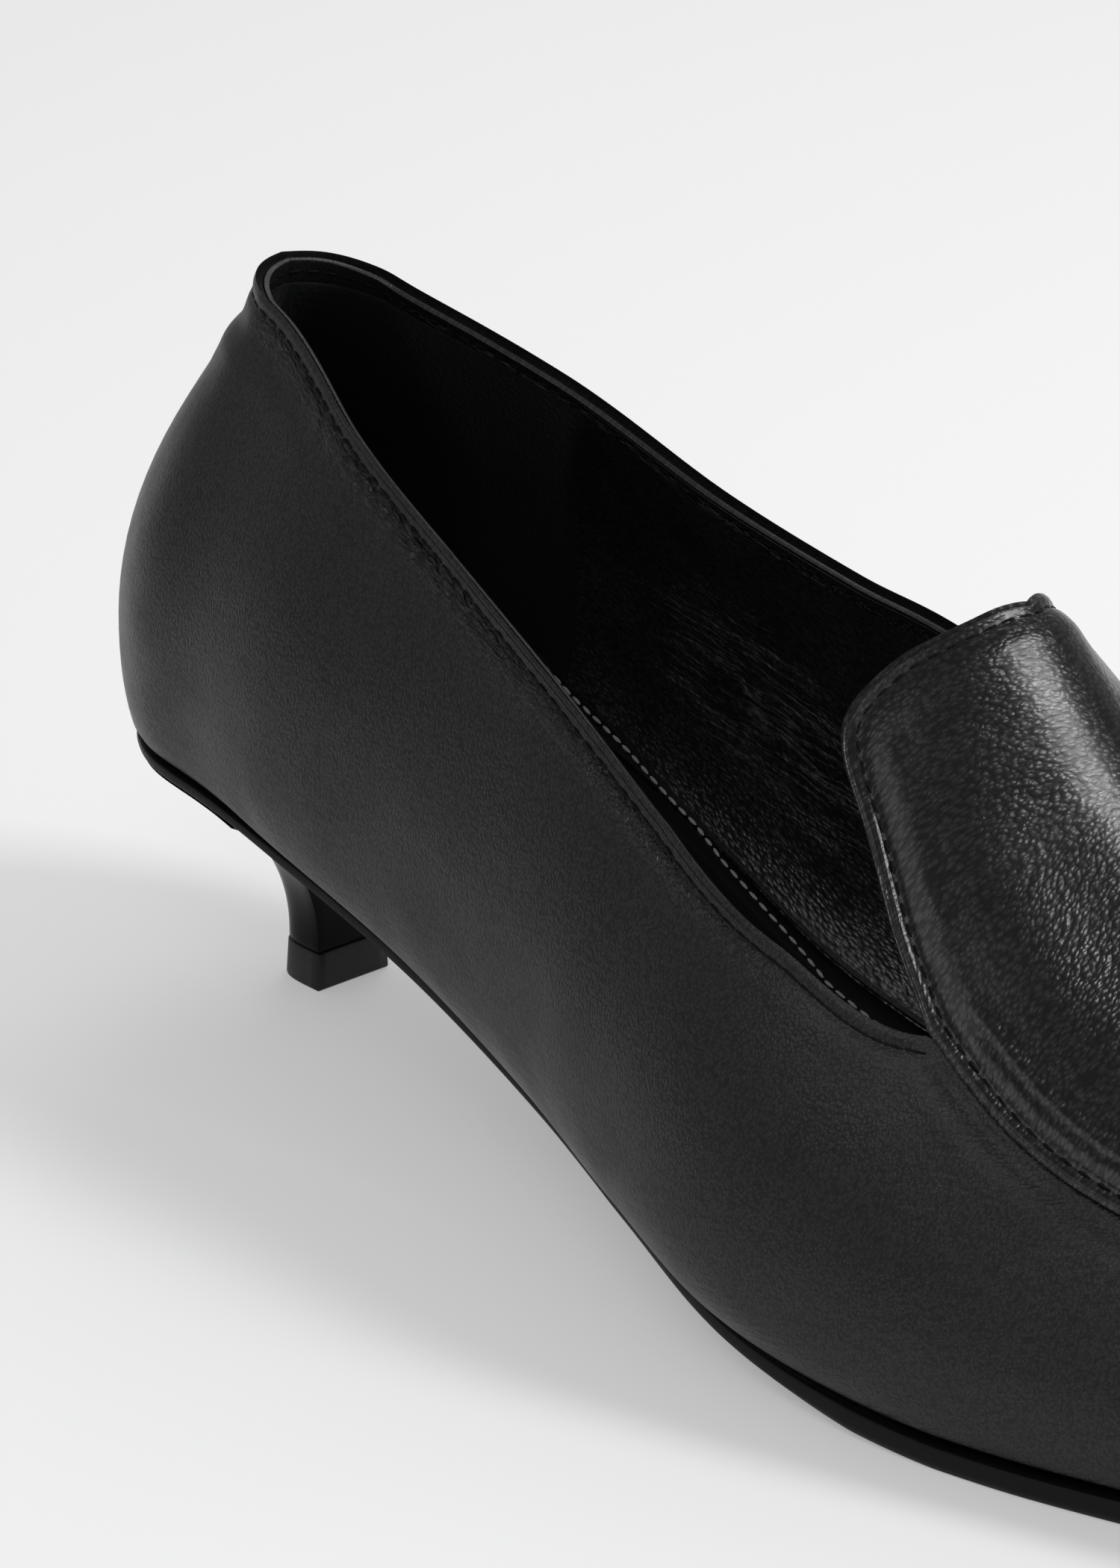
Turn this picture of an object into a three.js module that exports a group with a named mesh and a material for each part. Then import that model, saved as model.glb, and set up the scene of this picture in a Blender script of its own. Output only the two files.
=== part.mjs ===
// Kitten heel loafer, right shoe, millimetres, +X to the toe, +Z up, outer side of the foot at -Y.
// Every piece comes from one last: upright ribs that stand round the feather line, where the
// upper meets the sole, from the centre back along each side to the tip of the toe.
import * as THREE from "three";
import { mergeVertices } from "three/addons/utils/BufferGeometryUtils.js";

// Driving sizes of the last
const SHOE_LENGTH = 260;
const BALL_WIDTH = 76; // over the feather line at the ball
const BACK_HEIGHT = 58.5; // topline above the feather line at the centre back
const INSTEP_HEIGHT = 79; // ridge above the feather line at the top of the tongue
const HEEL_RISE = 34; // seat above the ball
const TOE_SPRING = 9.5;

// Thicknesses and clearances
const UPPER_WALL = 2.0; // outer leather and lining together
const APRON_THICKNESS = 1.0;
const APRON_PROUD = 0.8; // apron surface above the wrap it is lapped over
const FOREPART_SOLE = 2.9;
const WAIST_SOLE = 2.2;
const SEAT_SOLE = 1.6;
const FOREPART_LIP = 0.7; // sole edge beyond the feather line
const WAIST_LIP = -0.5;
const SOLE_EDGE_SHARE = 0.6; // upright part of the sole edge, of its thickness
const FOREPART_BEVEL = 0.5; // how far the lower edge of the sole is cut in
const WAIST_BEVEL = 3.0;
const INSOLE_THICKNESS = 2.4;
const GAP = 0.3;
const CURVED_GAP = 0.4; // between faceted pieces that curve round each other

// Tongue
const TONGUE_REACH = 23.4; // from the throat back to the rear corner, along the feather line
const TONGUE_LINING_INSET = 0.9;

// Heel
const BREAST_AT = 40; // front of the heel under the seat, from the back of the shoe
const STEM_BACK_AT = 23.4;
const STEM_LENGTH = 8.4;
const STEM_WIDTH = 11.6;
const STEM_POWER = 3.6; // squareness of the section, 2 being an ellipse
const TIP_FLARE = 0.25; // top piece beyond the stem on each side
const TIP_HEIGHT = 5.2;
const TIP_POWER = 3.9;
const HEEL_INSET = 0.5; // heel rim inside the feather line

const HALF_BALL = BALL_WIDTH / 2;
const SOLE_STACK = FOREPART_SOLE + GAP;

// One row for each rib. at: share of the shoe length. turn: 0 back, 90 side, 180 tip of the toe.
// foot, swell and top_out are shares of half the ball width: feather line from the spine, widest
// point beyond it, and top of the rib from the spine. swell_up is a share of the back height.
// top_up and brow_drop are shares of the instep height. flank and brow shape the upper curve.
// ridge_over is how far the ridge lies over to the inner side, as a share of half the ball width.
const RIB_COLUMNS = [
  "at", "turn", "foot_outer", "foot_inner", "swell_outer", "swell_inner", "swell_up",
  "top_out", "top_up", "flank", "brow_out", "brow_drop", "ridge_over",
];
const RIB_ROWS = [
  [0.116, 0, 0.680, 0.680, 0.055, 0.055, 0.270, 0.300, 0.780, 0.50, 0.04, 0.18, 0.00],
  [0.116, 30, 0.687, 0.687, 0.055, 0.055, 0.260, 0.280, 0.780, 0.50, 0.05, 0.18, 0.00],
  [0.116, 60, 0.698, 0.698, 0.055, 0.055, 0.250, 0.260, 0.780, 0.50, 0.08, 0.18, 0.00],
  [0.116, 90, 0.710, 0.705, 0.060, 0.060, 0.240, 0.245, 0.790, 0.50, 0.08, 0.18, 0.00],
  [0.198, 90, 0.735, 0.695, 0.115, 0.115, 0.270, 0.270, 0.835, 0.47, 0.09, 0.15, 0.00],
  [0.288, 90, 0.735, 0.640, 0.130, 0.145, 0.290, 0.250, 0.900, 0.42, 0.13, 0.12, 0.00],
  [0.377, 90, 0.785, 0.580, 0.155, 0.180, 0.290, 0.220, 0.970, 0.40, 0.18, 0.05, 0.02],
  [0.447, 90, 0.905, 0.595, 0.165, 0.195, 0.270, 0.000, 0.960, 0.38, 0.29, 0.00, 0.08],
  [0.526, 90, 1.035, 0.720, 0.145, 0.180, 0.220, 0.000, 0.925, 0.38, 0.37, 0.00, 0.12],
  [0.595, 90, 1.035, 0.875, 0.095, 0.130, 0.190, 0.000, 0.735, 0.40, 0.47, 0.00, 0.12],
  [0.665, 90, 0.958, 0.953, 0.065, 0.090, 0.170, 0.000, 0.570, 0.45, 0.53, 0.00, 0.09],
  [0.744, 90, 0.787, 0.895, 0.065, 0.065, 0.155, 0.000, 0.425, 0.50, 0.47, 0.00, 0.05],
  [0.820, 90, 0.620, 0.720, 0.055, 0.055, 0.140, 0.000, 0.335, 0.50, 0.37, 0.00, 0.02],
  [0.890, 90, 0.455, 0.510, 0.045, 0.045, 0.120, 0.000, 0.272, 0.50, 0.26, 0.00, 0.00],
  [0.930, 112, 0.345, 0.365, 0.040, 0.040, 0.120, 0.000, 0.224, 0.50, 0.21, 0.005, 0.00],
  [0.942, 150, 0.342, 0.350, 0.040, 0.040, 0.110, 0.000, 0.205, 0.50, 0.21, 0.01, 0.00],
  [0.945, 180, 0.345, 0.345, 0.040, 0.040, 0.110, 0.000, 0.203, 0.50, 0.21, 0.01, 0.00],
];

// Edge of the wrap at each rib: as far as the throat row the height of the topline above the
// feather line, as a share of the back height, and past it the seam of the apron, as a share of
// the way up the rib.
const THROAT_INDEX = 9;
const EDGE_ROWS = [ // outer side, inner side
  [1.000, 1.000], [0.998, 0.994], [0.992, 0.978], [0.982, 0.955], [0.908, 0.905], [0.868, 0.860],
  [0.854, 0.905], [0.789, 0.975], [0.741, 0.900], [0.681, 0.720],
  [0.594, 0.614], [0.612, 0.645], [0.630, 0.660], [0.645, 0.668], [0.700, 0.710], [0.762, 0.766],
  [0.780, 0.780],
];
// The topline comes to the throat as if it went on to this share of the way up the next rib
const TOPLINE_AHEAD = [0.840, 0.750];

// Underside of the upper along the shoe: x as a share of its length, then the shares of the heel
// rise and of the toe spring in its height.
const BOTTOM_COLUMNS = ["x", "rise", "spring"];
const BOTTOM_ROWS = [
  [0.000, 1.000, 0], [0.040, 0.975, 0], [0.116, 0.945, 0], [0.198, 0.822, 0], [0.288, 0.619, 0],
  [0.377, 0.372, 0], [0.466, 0.195, 0], [0.555, 0.063, 0], [0.640, 0, 0], [0.720, 0, 0],
  [0.800, 0, 0.10], [0.880, 0, 0.36], [0.950, 0, 0.68], [1.000, 0, 1.00],
];

// Middle line of the last seen from above: x share, sideways share of half the ball width.
const SPINE_ROWS = [
  [0, 0], [0.116, 0], [0.3, 0], [0.45, 0.026], [0.6, 0.053], [0.75, 0.079], [0.9, 0.079], [1, 0.079],
];

// Rear outline of the tongue: share of the way from the throat up to the ridge, share of its reach.
const TONGUE_ROWS = [
  [0, 0], [0.03, 0.10], [0.06, 0.23], [0.09, 0.35], [0.12, 0.45], [0.155, 0.57], [0.19, 0.70],
  [0.22, 0.82], [0.25, 0.91], [0.29, 0.975], [0.35, 1.0], [0.42, 0.985], [0.52, 0.945],
  [0.63, 0.88], [0.75, 0.825], [0.88, 0.79], [1, 0.76],
];

// Sole along the shoe: x share, share of the forepart in thickness, lip and bevel (waist is 0),
// and the share of the seat in thickness.
const SOLE_ROWS = [
  [0, 0, 1], [0.14, 0, 1], [0.22, 0, 0], [0.42, 0, 0], [0.52, 0.45, 0], [0.60, 1, 0], [1, 1, 0],
];

const column = (columns, name) => columns.indexOf(name);

// Smooth curve through the rows of a table at the value x of its marks
function along(marks, rows, x) {
  const last = marks.length - 1;
  let i = 0;
  while (i < last - 1 && x > marks[i + 1]) {
    i += 1;
  }
  const step = (k) => marks[k + 1] - marks[k];
  const slope = (k, c) => (rows[k + 1][c] - rows[k][c]) / step(k);
  const tangent = (k, c) => {
    if (k === 0) {
      return slope(0, c);
    }
    if (k === last) {
      return slope(last - 1, c);
    }
    return (step(k) * slope(k - 1, c) + step(k - 1) * slope(k, c)) / (step(k) + step(k - 1));
  };
  const h = step(i);
  const t = THREE.MathUtils.clamp((x - marks[i]) / h, 0, 1);
  const a = 2 * t ** 3 - 3 * t ** 2 + 1;
  const b = t ** 3 - 2 * t ** 2 + t;
  const c = -2 * t ** 3 + 3 * t ** 2;
  const d = t ** 3 - t ** 2;
  return rows[i].map((value, k) => (
    a * value + b * h * tangent(i, k) + c * rows[i + 1][k] + d * h * tangent(i + 1, k)
  ));
}

const shareTable = (rows) => {
  const marks = rows.map((row) => row[0]);
  return (x) => along(marks, rows, THREE.MathUtils.clamp(x, marks[0], marks.at(-1)));
};
const bottomShares = shareTable(BOTTOM_ROWS);
const spineShares = shareTable(SPINE_ROWS);
const tongueShares = shareTable(TONGUE_ROWS);
const soleShares = shareTable(SOLE_ROWS);

function bottomZ(x) {
  const row = bottomShares(x / SHOE_LENGTH);
  const rise = Math.max(row[column(BOTTOM_COLUMNS, "rise")], 0);
  const spring = Math.max(row[column(BOTTOM_COLUMNS, "spring")], 0);
  return SOLE_STACK + rise * HEEL_RISE + spring * TOE_SPRING;
}

const spineY = (x) => spineShares(x / SHOE_LENGTH)[1] * HALF_BALL;

// Marks: way along the feather line at each rib, in millimetres
const RIB_MARKS = [0];
for (let i = 1; i < RIB_ROWS.length; i += 1) {
  const [before, row] = [RIB_ROWS[i - 1], RIB_ROWS[i]];
  const forward = Math.abs(row[0] - before[0]) * SHOE_LENGTH;
  const turned = THREE.MathUtils.degToRad(Math.abs(row[1] - before[1]));
  const radius = HALF_BALL * (row[2] + row[3]) / 2;
  RIB_MARKS.push(RIB_MARKS[i - 1] + forward + turned * radius);
}
const WAY_END = RIB_MARKS.at(-1);
const WAY_THROAT = RIB_MARKS[THROAT_INDEX];
const LOWER_PART = 0.28; // share of the rib's way up that lies below the widest point
const HIP_OUT = 0.55; // roundness of the rib below its widest point, outwards and upwards
const HIP_UP = [0.18, 0.5];

const cubic = (q, p0, p1, p2, p3) => (
  (1 - q) ** 3 * p0 + 3 * (1 - q) ** 2 * q * p1 + 3 * (1 - q) * q * q * p2 + q ** 3 * p3
);

// Outer surface of the last: side -1 outer or 1 inner, way along the feather line, up from 0 to 1
function lastPoint(side, way, up) {
  const row = along(RIB_MARKS, RIB_ROWS, way);
  const get = (name) => row[column(RIB_COLUMNS, name)];
  const [foot, swell] = side < 0
    ? [get("foot_outer"), get("swell_outer")]
    : [get("foot_inner"), get("swell_inner")];
  const footOut = foot * HALF_BALL;
  const wideOut = footOut + swell * HALF_BALL;
  const wideUp = get("swell_up") * BACK_HEIGHT;
  const topOut = Math.max(get("top_out"), 0) * HALF_BALL;
  const topUp = get("top_up") * INSTEP_HEIGHT;
  const browOut = topOut + get("brow_out") * HALF_BALL;
  const browUp = topUp - Math.max(get("brow_drop"), 0) * INSTEP_HEIGHT;
  const flankUp = wideUp + get("flank") * (topUp - wideUp);
  const low = THREE.MathUtils.clamp(up / LOWER_PART, 0, 1);
  const high = THREE.MathUtils.clamp((up - LOWER_PART) / (1 - LOWER_PART), 0, 1);
  const hipOut = footOut + HIP_OUT * (wideOut - footOut);
  const out = up < LOWER_PART
    ? cubic(low, footOut, hipOut, wideOut, wideOut)
    : cubic(high, wideOut, wideOut, browOut, topOut);
  const z = up < LOWER_PART
    ? cubic(low, 0, HIP_UP[0] * wideUp, HIP_UP[1] * wideUp, wideUp)
    : cubic(high, wideUp, flankUp, browUp, topUp);
  const turn = THREE.MathUtils.degToRad(THREE.MathUtils.clamp(get("turn"), 0, 180));
  const spineX = get("at") * SHOE_LENGTH;
  const x = spineX - Math.cos(turn) * out;
  const over = get("ridge_over") * HALF_BALL * high * high;
  const y = spineY(spineX) + side * Math.sin(turn) * out + over;
  const footX = spineX - Math.cos(turn) * footOut;
  return new THREE.Vector3(x, y, bottomZ(footX + (spineX - footX) * high) + z);
}

// Share of the way up a rib at which it has the given height above the feather line
function upAtHeight(side, way, height) {
  const footZ = lastPoint(side, way, 0).z;
  let [from, to] = [0, 1];
  for (let i = 0; i < 30; i += 1) {
    const middle = (from + to) / 2;
    if (lastPoint(side, way, middle).z - footZ < height) {
      from = middle;
    } else {
      to = middle;
    }
  }
  return (from + to) / 2;
}

// Way up each rib at the edge of the wrap, on both sides: the topline, then the seam of the
// apron, each a curve of its own with a corner between them at the throat
const SIDES = [-1, 1];
const EDGE_UPS = EDGE_ROWS.map((row, i) => SIDES.map((side, k) => (
  i > THROAT_INDEX ? row[k] : upAtHeight(side, RIB_MARKS[i], row[k] * BACK_HEIGHT)
)));
const TOPLINE_UPS = [...EDGE_UPS.slice(0, THROAT_INDEX + 1), TOPLINE_AHEAD];
const edgeUp = (side, way) => {
  const [marks, ups] = way < WAY_THROAT
    ? [RIB_MARKS.slice(0, THROAT_INDEX + 2), TOPLINE_UPS]
    : [RIB_MARKS.slice(THROAT_INDEX), EDGE_UPS.slice(THROAT_INDEX)];
  return along(marks, ups, way)[SIDES.indexOf(side)];
};

const steps = (from, to, count) => (
  Array.from({ length: count + 1 }, (unused, i) => from + (to - from) * i / count)
);

const HEEL_WAYS = steps(0, RIB_MARKS[3], 8);
const SIDE_WAYS = steps(RIB_MARKS[3], WAY_THROAT, 15);
const FRONT_WAYS = steps(WAY_THROAT, RIB_MARKS[13], 9);
const TOE_WAYS = steps(RIB_MARKS[13], WAY_END, 7);
const REAR_WAYS = [...HEEL_WAYS, ...SIDE_WAYS.slice(1)];
const FORE_WAYS = [...FRONT_WAYS, ...TOE_WAYS.slice(1)];
const ALL_WAYS = [...REAR_WAYS, ...FORE_WAYS.slice(1)];
const LOWER_SHARES = [0, 0.05, 0.12, 0.22, 0.34, 0.48, 0.64, 0.82, 1];
const UPPER_SHARES = [0, 0.06, 0.12, 0.18, 0.25, 0.35, 0.5, 0.68, 0.85, 1];
const TONGUE_STEPS = 4;

// Sheet: faces on shared points of the last, each point with its normal, so that every layer of
// the upper is the same sheet at another depth.
class Sheet {
  constructor() {
    this.points = [];
    this.normals = [];
    this.faces = [];
    this.index = new Map();
  }

  add(point) {
    const key = [point.x, point.y, point.z].map((v) => Math.round(v * 1000)).join(" ");
    if (!this.index.has(key)) {
      this.index.set(key, this.points.length);
      this.points.push(point);
      this.normals.push(new THREE.Vector3());
    }
    return this.index.get(key);
  }

  grid(lines, side) {
    const rows = lines.map((line) => line.map((point) => this.add(point)));
    for (let i = 0; i + 1 < rows.length; i += 1) {
      for (let j = 0; j + 1 < rows[i].length; j += 1) {
        const [a, b, c, d] = [rows[i][j], rows[i + 1][j], rows[i + 1][j + 1], rows[i][j + 1]];
        this.face(side < 0 ? [a, b, c] : [a, c, b]);
        this.face(side < 0 ? [a, c, d] : [a, d, c]);
      }
    }
    return rows;
  }

  face(corners) {
    if (new Set(corners).size < 3) {
      return;
    }
    const [a, b, c] = corners.map((k) => this.points[k]);
    const normal = b.clone().sub(a).cross(c.clone().sub(a));
    corners.forEach((k) => this.normals[k].add(normal));
    this.faces.push(corners);
  }

  at(k, depth) {
    return this.points[k].clone().addScaledVector(this.normals[k].clone().normalize(), depth);
  }
}

// Solid: triangles in space, joined to one closed mesh at the end
class Solid {
  constructor() {
    this.corners = [];
  }

  triangle(a, b, c) {
    this.corners.push(a, b, c);
  }

  quad(a, b, c, d) {
    this.triangle(a, b, c);
    this.triangle(a, c, d);
  }

  layer(faces, place, outward) {
    faces.forEach((face) => {
      const [a, b, c] = face.map(place);
      this.triangle(a, outward ? b : c, outward ? c : b);
    });
  }

  // Strip between two lines of points, facing right of the way from low to high and forward
  strip(low, high, flip) {
    for (let i = 0; i + 1 < low.length; i += 1) {
      if (flip) {
        this.quad(low[i], high[i], high[i + 1], low[i + 1]);
      } else {
        this.quad(low[i], low[i + 1], high[i + 1], high[i]);
      }
    }
  }

  mesh(name, colour, roughness) {
    const soup = new THREE.BufferGeometry();
    const values = this.corners.flatMap((corner) => corner.toArray());
    soup.setAttribute("position", new THREE.Float32BufferAttribute(values, 3));
    const joined = mergeVertices(soup, 0.001);
    const index = [];
    for (let i = 0; i < joined.index.count; i += 3) {
      const corners = [0, 1, 2].map((k) => joined.index.getX(i + k));
      if (new Set(corners).size === 3) {
        index.push(...corners);
      }
    }
    joined.setIndex(index);
    joined.computeVertexNormals();
    const finish = new THREE.MeshStandardMaterial({ color: colour, roughness, metalness: 0 });
    const mesh = new THREE.Mesh(joined, finish);
    mesh.name = name;
    return mesh;
  }
}

// Way up a rib moved by a distance over the surface
function upMoved(side, way, up, distance) {
  const nearby = 0.01;
  const speed = lastPoint(side, way, up).distanceTo(lastPoint(side, way, up + nearby)) / nearby;
  return Math.min(up + distance / speed, 1);
}

// The front of the upper above the apron seam, with the tongue, as grids on a sheet
function addApronSheet(sheet, side, seamInset, tongueInset) {
  const throatUp = upMoved(side, WAY_THROAT, edgeUp(side, WAY_THROAT), seamInset);
  const front = FORE_WAYS.map((way) => {
    const seamUp = way === WAY_THROAT ? throatUp : upMoved(side, way, edgeUp(side, way), seamInset);
    return UPPER_SHARES.map((share) => lastPoint(side, way, seamUp + share * (1 - seamUp)));
  });
  const tongue = steps(0, 1, TONGUE_STEPS).map((part) => UPPER_SHARES.map((share) => {
    const reach = Math.max(tongueShares(share)[1] * TONGUE_REACH - tongueInset, 0);
    const start = share === 0 ? WAY_THROAT : WAY_THROAT - reach;
    const way = start + (WAY_THROAT - start) * part;
    return lastPoint(side, way, throatUp + share * (1 - throatUp));
  }));
  const tongueRows = sheet.grid(tongue, side);
  const frontRows = sheet.grid(front, side);
  return { tongueEdge: tongueRows[0], seam: frontRows.map((row) => row[0]) };
}

// Upper: wrap and lining as one wall, open at the collar and along the foot
function makeUpper() {
  const sheet = new Sheet();
  const wrapFaces = [];
  const sides = SIDES.map((side) => {
    const first = sheet.faces.length;
    const wrap = ALL_WAYS.map((way) => {
      const edge = edgeUp(side, way);
      return LOWER_SHARES.map((share) => lastPoint(side, way, share * edge));
    });
    const rows = sheet.grid(wrap, side);
    wrapFaces.push(...sheet.faces.slice(first));
    const apron = addApronSheet(sheet, side, 0, TONGUE_LINING_INSET);
    return { side, foot: rows.map((row) => row[0]), edge: rows.map((row) => row.at(-1)), ...apron };
  });
  const wrapSet = new Set(wrapFaces);
  const apronFaces = sheet.faces.filter((face) => !wrapSet.has(face));
  const stepDepth = APRON_PROUD - APRON_THICKNESS - GAP;
  const footPoints = new Set(sides.flatMap((entry) => entry.foot));
  const outer = (k) => sheet.points[k];
  const stepped = (k) => sheet.at(k, stepDepth);
  const inner = (k) => {
    if (!footPoints.has(k)) {
      return sheet.at(k, -UPPER_WALL);
    }
    const level = sheet.normals[k].clone().setZ(0).normalize();
    return sheet.points[k].clone().addScaledVector(level, -UPPER_WALL);
  };
  const solid = new Solid();
  solid.layer(wrapFaces, outer, true);
  solid.layer(apronFaces, stepped, true);
  solid.layer(sheet.faces, inner, false);
  sides.forEach(({ side, foot, edge, tongueEdge, seam }) => {
    const topline = edge.slice(0, REAR_WAYS.length);
    solid.strip(foot.map(inner), foot.map(outer), side > 0);
    solid.strip(topline.map(outer), topline.map(stepped), side > 0);
    solid.strip(topline.map(stepped), topline.map(inner), side > 0);
    solid.strip(seam.map(outer), seam.map(stepped), side > 0);
    solid.strip(tongueEdge.map(stepped), tongueEdge.map(inner), side > 0);
  });
  return solid.mesh("upper", 0x2b2b2d, 0.45);
}

// Apron: the glossier overlay on the forepart, with the free tongue
function makeApron() {
  const sheet = new Sheet();
  const sides = SIDES.map((side) => ({ side, ...addApronSheet(sheet, side, CURVED_GAP, 0) }));
  const top = (k) => sheet.at(k, APRON_PROUD);
  const under = (k) => sheet.at(k, APRON_PROUD - APRON_THICKNESS);
  const solid = new Solid();
  solid.layer(sheet.faces, top, true);
  solid.layer(sheet.faces, under, false);
  sides.forEach(({ side, tongueEdge, seam }) => {
    solid.strip(seam.map(under), seam.map(top), side > 0);
    solid.strip(tongueEdge.map(top), tongueEdge.map(under), side > 0);
  });
  return solid.mesh("apron", 0x1d1d1f, 0.3);
}

// Outline of the feather line moved outwards, level, as matched points of both sides
function footOutline(ways, outwards) {
  return SIDES.map((side) => ways.map((way) => {
    const point = lastPoint(side, way, 0);
    const before = lastPoint(side, Math.max(way - 0.5, 0), 0);
    const after = lastPoint(side, Math.min(way + 0.5, WAY_END), 0);
    const run = after.sub(before).setZ(0).normalize();
    const out = new THREE.Vector3(run.y, -run.x, 0).multiplyScalar(-side);
    if (way === 0) {
      out.set(-1, 0, 0);
    }
    if (way === WAY_END) {
      out.set(1, 0, 0);
    }
    return point.addScaledVector(out, outwards(point.x));
  }));
}

// Plate between two outlines, each of two matched sides that share their ends
function addPlate(solid, top, bottom) {
  const [topOuter, topInner] = top;
  const [bottomOuter, bottomInner] = bottom;
  const middle = (a, b) => a.map((point, i) => point.clone().lerp(b[i], 0.5));
  const topMiddle = middle(topOuter, topInner);
  const bottomMiddle = middle(bottomOuter, bottomInner);
  solid.strip(topOuter, topMiddle, false);
  solid.strip(topMiddle, topInner, false);
  solid.strip(bottomOuter, bottomMiddle, true);
  solid.strip(bottomMiddle, bottomInner, true);
}

const atHeight = (lines, height) => lines.map((line) => (
  line.map((point) => new THREE.Vector3(point.x, point.y, height(point.x)))
));

const soleMix = (x, forepart, waist, seat) => {
  const [, front, back] = soleShares(x / SHOE_LENGTH);
  const level = THREE.MathUtils.clamp(front, 0, 1);
  return waist + level * (forepart - waist) + THREE.MathUtils.clamp(back, 0, 1) * (seat - waist);
};
const soleThickness = (x) => soleMix(x, FOREPART_SOLE, WAIST_SOLE, SEAT_SOLE);
const soleLip = (x) => soleMix(x, FOREPART_LIP, WAIST_LIP, 0);
const soleBevel = (x) => soleMix(x, FOREPART_BEVEL, WAIST_BEVEL, FOREPART_BEVEL);
const soleTopZ = (x) => bottomZ(x) - GAP;
const soleUnderZ = (x) => bottomZ(x) - GAP - soleThickness(x);

function makeOutsole() {
  const solid = new Solid();
  const top = atHeight(footOutline(ALL_WAYS, soleLip), soleTopZ);
  const edge = atHeight(
    footOutline(ALL_WAYS, soleLip),
    (x) => soleTopZ(x) - SOLE_EDGE_SHARE * soleThickness(x),
  );
  const under = atHeight(footOutline(ALL_WAYS, (x) => soleLip(x) - soleBevel(x)), soleUnderZ);
  addPlate(solid, top, under);
  [top, edge].forEach((upper, i) => {
    const lower = [edge, under][i];
    solid.strip(lower[0], upper[0], false);
    solid.strip(lower[1], upper[1], true);
  });
  return solid.mesh("outsole", 0x3a3a3c, 0.6);
}

function makeInsole() {
  const inwards = () => -(UPPER_WALL + CURVED_GAP);
  const top = atHeight(footOutline(ALL_WAYS, inwards), (x) => bottomZ(x) + INSOLE_THICKNESS);
  const under = atHeight(footOutline(ALL_WAYS, inwards), bottomZ);
  const solid = new Solid();
  addPlate(solid, top, under);
  solid.strip(under[0], top[0], false);
  solid.strip(under[1], top[1], true);
  return solid.mesh("insole_sock", 0x141416, 0.85);
}

// Section of the stem and top piece: flat in front, with a rounded back
function stemPoint(part, grow, power) {
  const length = STEM_LENGTH + 2 * grow;
  const width = STEM_WIDTH + 2 * grow;
  const back = STEM_BACK_AT - grow;
  const round = width / 2;
  const turn = part * Math.PI / 2;
  const bulge = (value) => Math.sign(value) * Math.abs(value) ** (2 / power);
  return new THREE.Vector2(
    back + length - length * bulge(Math.cos(turn)),
    round * bulge(Math.sin(turn)),
  );
}

// Heel: seat under the shoe drawn in to a slim stem, with a flat breast
const HEEL_SIDE_STEPS = 9;
const HEEL_BREAST_STEPS = 3;
const HEEL_LEVELS = [0, 0.02, 0.05, 0.1, 0.17, 0.26, 0.38, 0.55, 0.78, 1];
const BACK_SWEEP_POWER = 2.5;
const SIDE_SWEEP_POWER = 2.2;

function wayAtX(x) {
  let [from, to] = [RIB_MARKS[3], WAY_THROAT];
  for (let i = 0; i < 30; i += 1) {
    const middle = (from + to) / 2;
    if (lastPoint(-1, middle, 0).x < x) {
      from = middle;
    } else {
      to = middle;
    }
  }
  return (from + to) / 2;
}

function makeHeel() {
  const ways = steps(0, wayAtX(BREAST_AT), HEEL_SIDE_STEPS);
  const seat = atHeight(footOutline(ways, () => -HEEL_INSET), (x) => soleUnderZ(x) - GAP);
  const stemZ = TIP_HEIGHT + GAP;
  const levelLine = (level) => SIDES.map((side, k) => seat[k].map((point, i) => {
    const part = i / HEEL_SIDE_STEPS;
    const stem = stemPoint(part, 0, STEM_POWER);
    const target = new THREE.Vector3(stem.x, side * stem.y, stemZ);
    const beside = Math.sin(part * Math.PI / 2);
    const sweep = BACK_SWEEP_POWER + (SIDE_SWEEP_POWER - BACK_SWEEP_POWER) * beside;
    const drawn = 1 - (1 - level) ** sweep;
    const z = point.z + (target.z - point.z) * level;
    return new THREE.Vector3(
      point.x + (target.x - point.x) * drawn,
      point.y + (target.y - point.y) * drawn,
      z,
    );
  }));
  const levels = HEEL_LEVELS.map(levelLine);
  const solid = new Solid();
  addPlate(solid, levels[0], levels.at(-1));
  levels.slice(1).forEach((lower, i) => {
    const upper = levels[i];
    solid.strip(lower[0], upper[0], false);
    solid.strip(lower[1], upper[1], true);
    const across = (line) => steps(0, 1, 2).map((part) => (
      line[0].at(-1).clone().lerp(line[1].at(-1), part)
    ));
    solid.strip(across(lower), across(upper), false);
  });
  return solid.mesh("heel", 0x0c0c0d, 0.15);
}

function makeTopPiece() {
  const parts = steps(0, 1, HEEL_SIDE_STEPS + HEEL_BREAST_STEPS);
  const ring = (grow, z) => SIDES.map((side) => parts.map((part) => {
    const point = stemPoint(part, grow, TIP_POWER);
    return new THREE.Vector3(point.x, side * point.y, z);
  }));
  const top = ring(0, TIP_HEIGHT);
  const under = ring(TIP_FLARE, 0);
  const solid = new Solid();
  addPlate(solid, top, under);
  solid.strip(under[0], top[0], false);
  solid.strip(under[1], top[1], true);
  const across = (line) => steps(0, 1, 2).map((part) => (
    line[0].at(-1).clone().lerp(line[1].at(-1), part)
  ));
  solid.strip(across(under), across(top), false);
  return solid.mesh("top_piece", 0x101011, 0.55);
}

const shoe = new THREE.Group();
shoe.add(makeUpper(), makeApron(), makeInsole(), makeOutsole(), makeHeel(), makeTopPiece());

// Origin: middle of the box on the floor
const box = new THREE.Box3().setFromObject(shoe);
const centre = box.getCenter(new THREE.Vector3());
shoe.position.set(-centre.x, -centre.y, -box.min.z);
shoe.updateMatrixWorld(true);

export default shoe;
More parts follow.
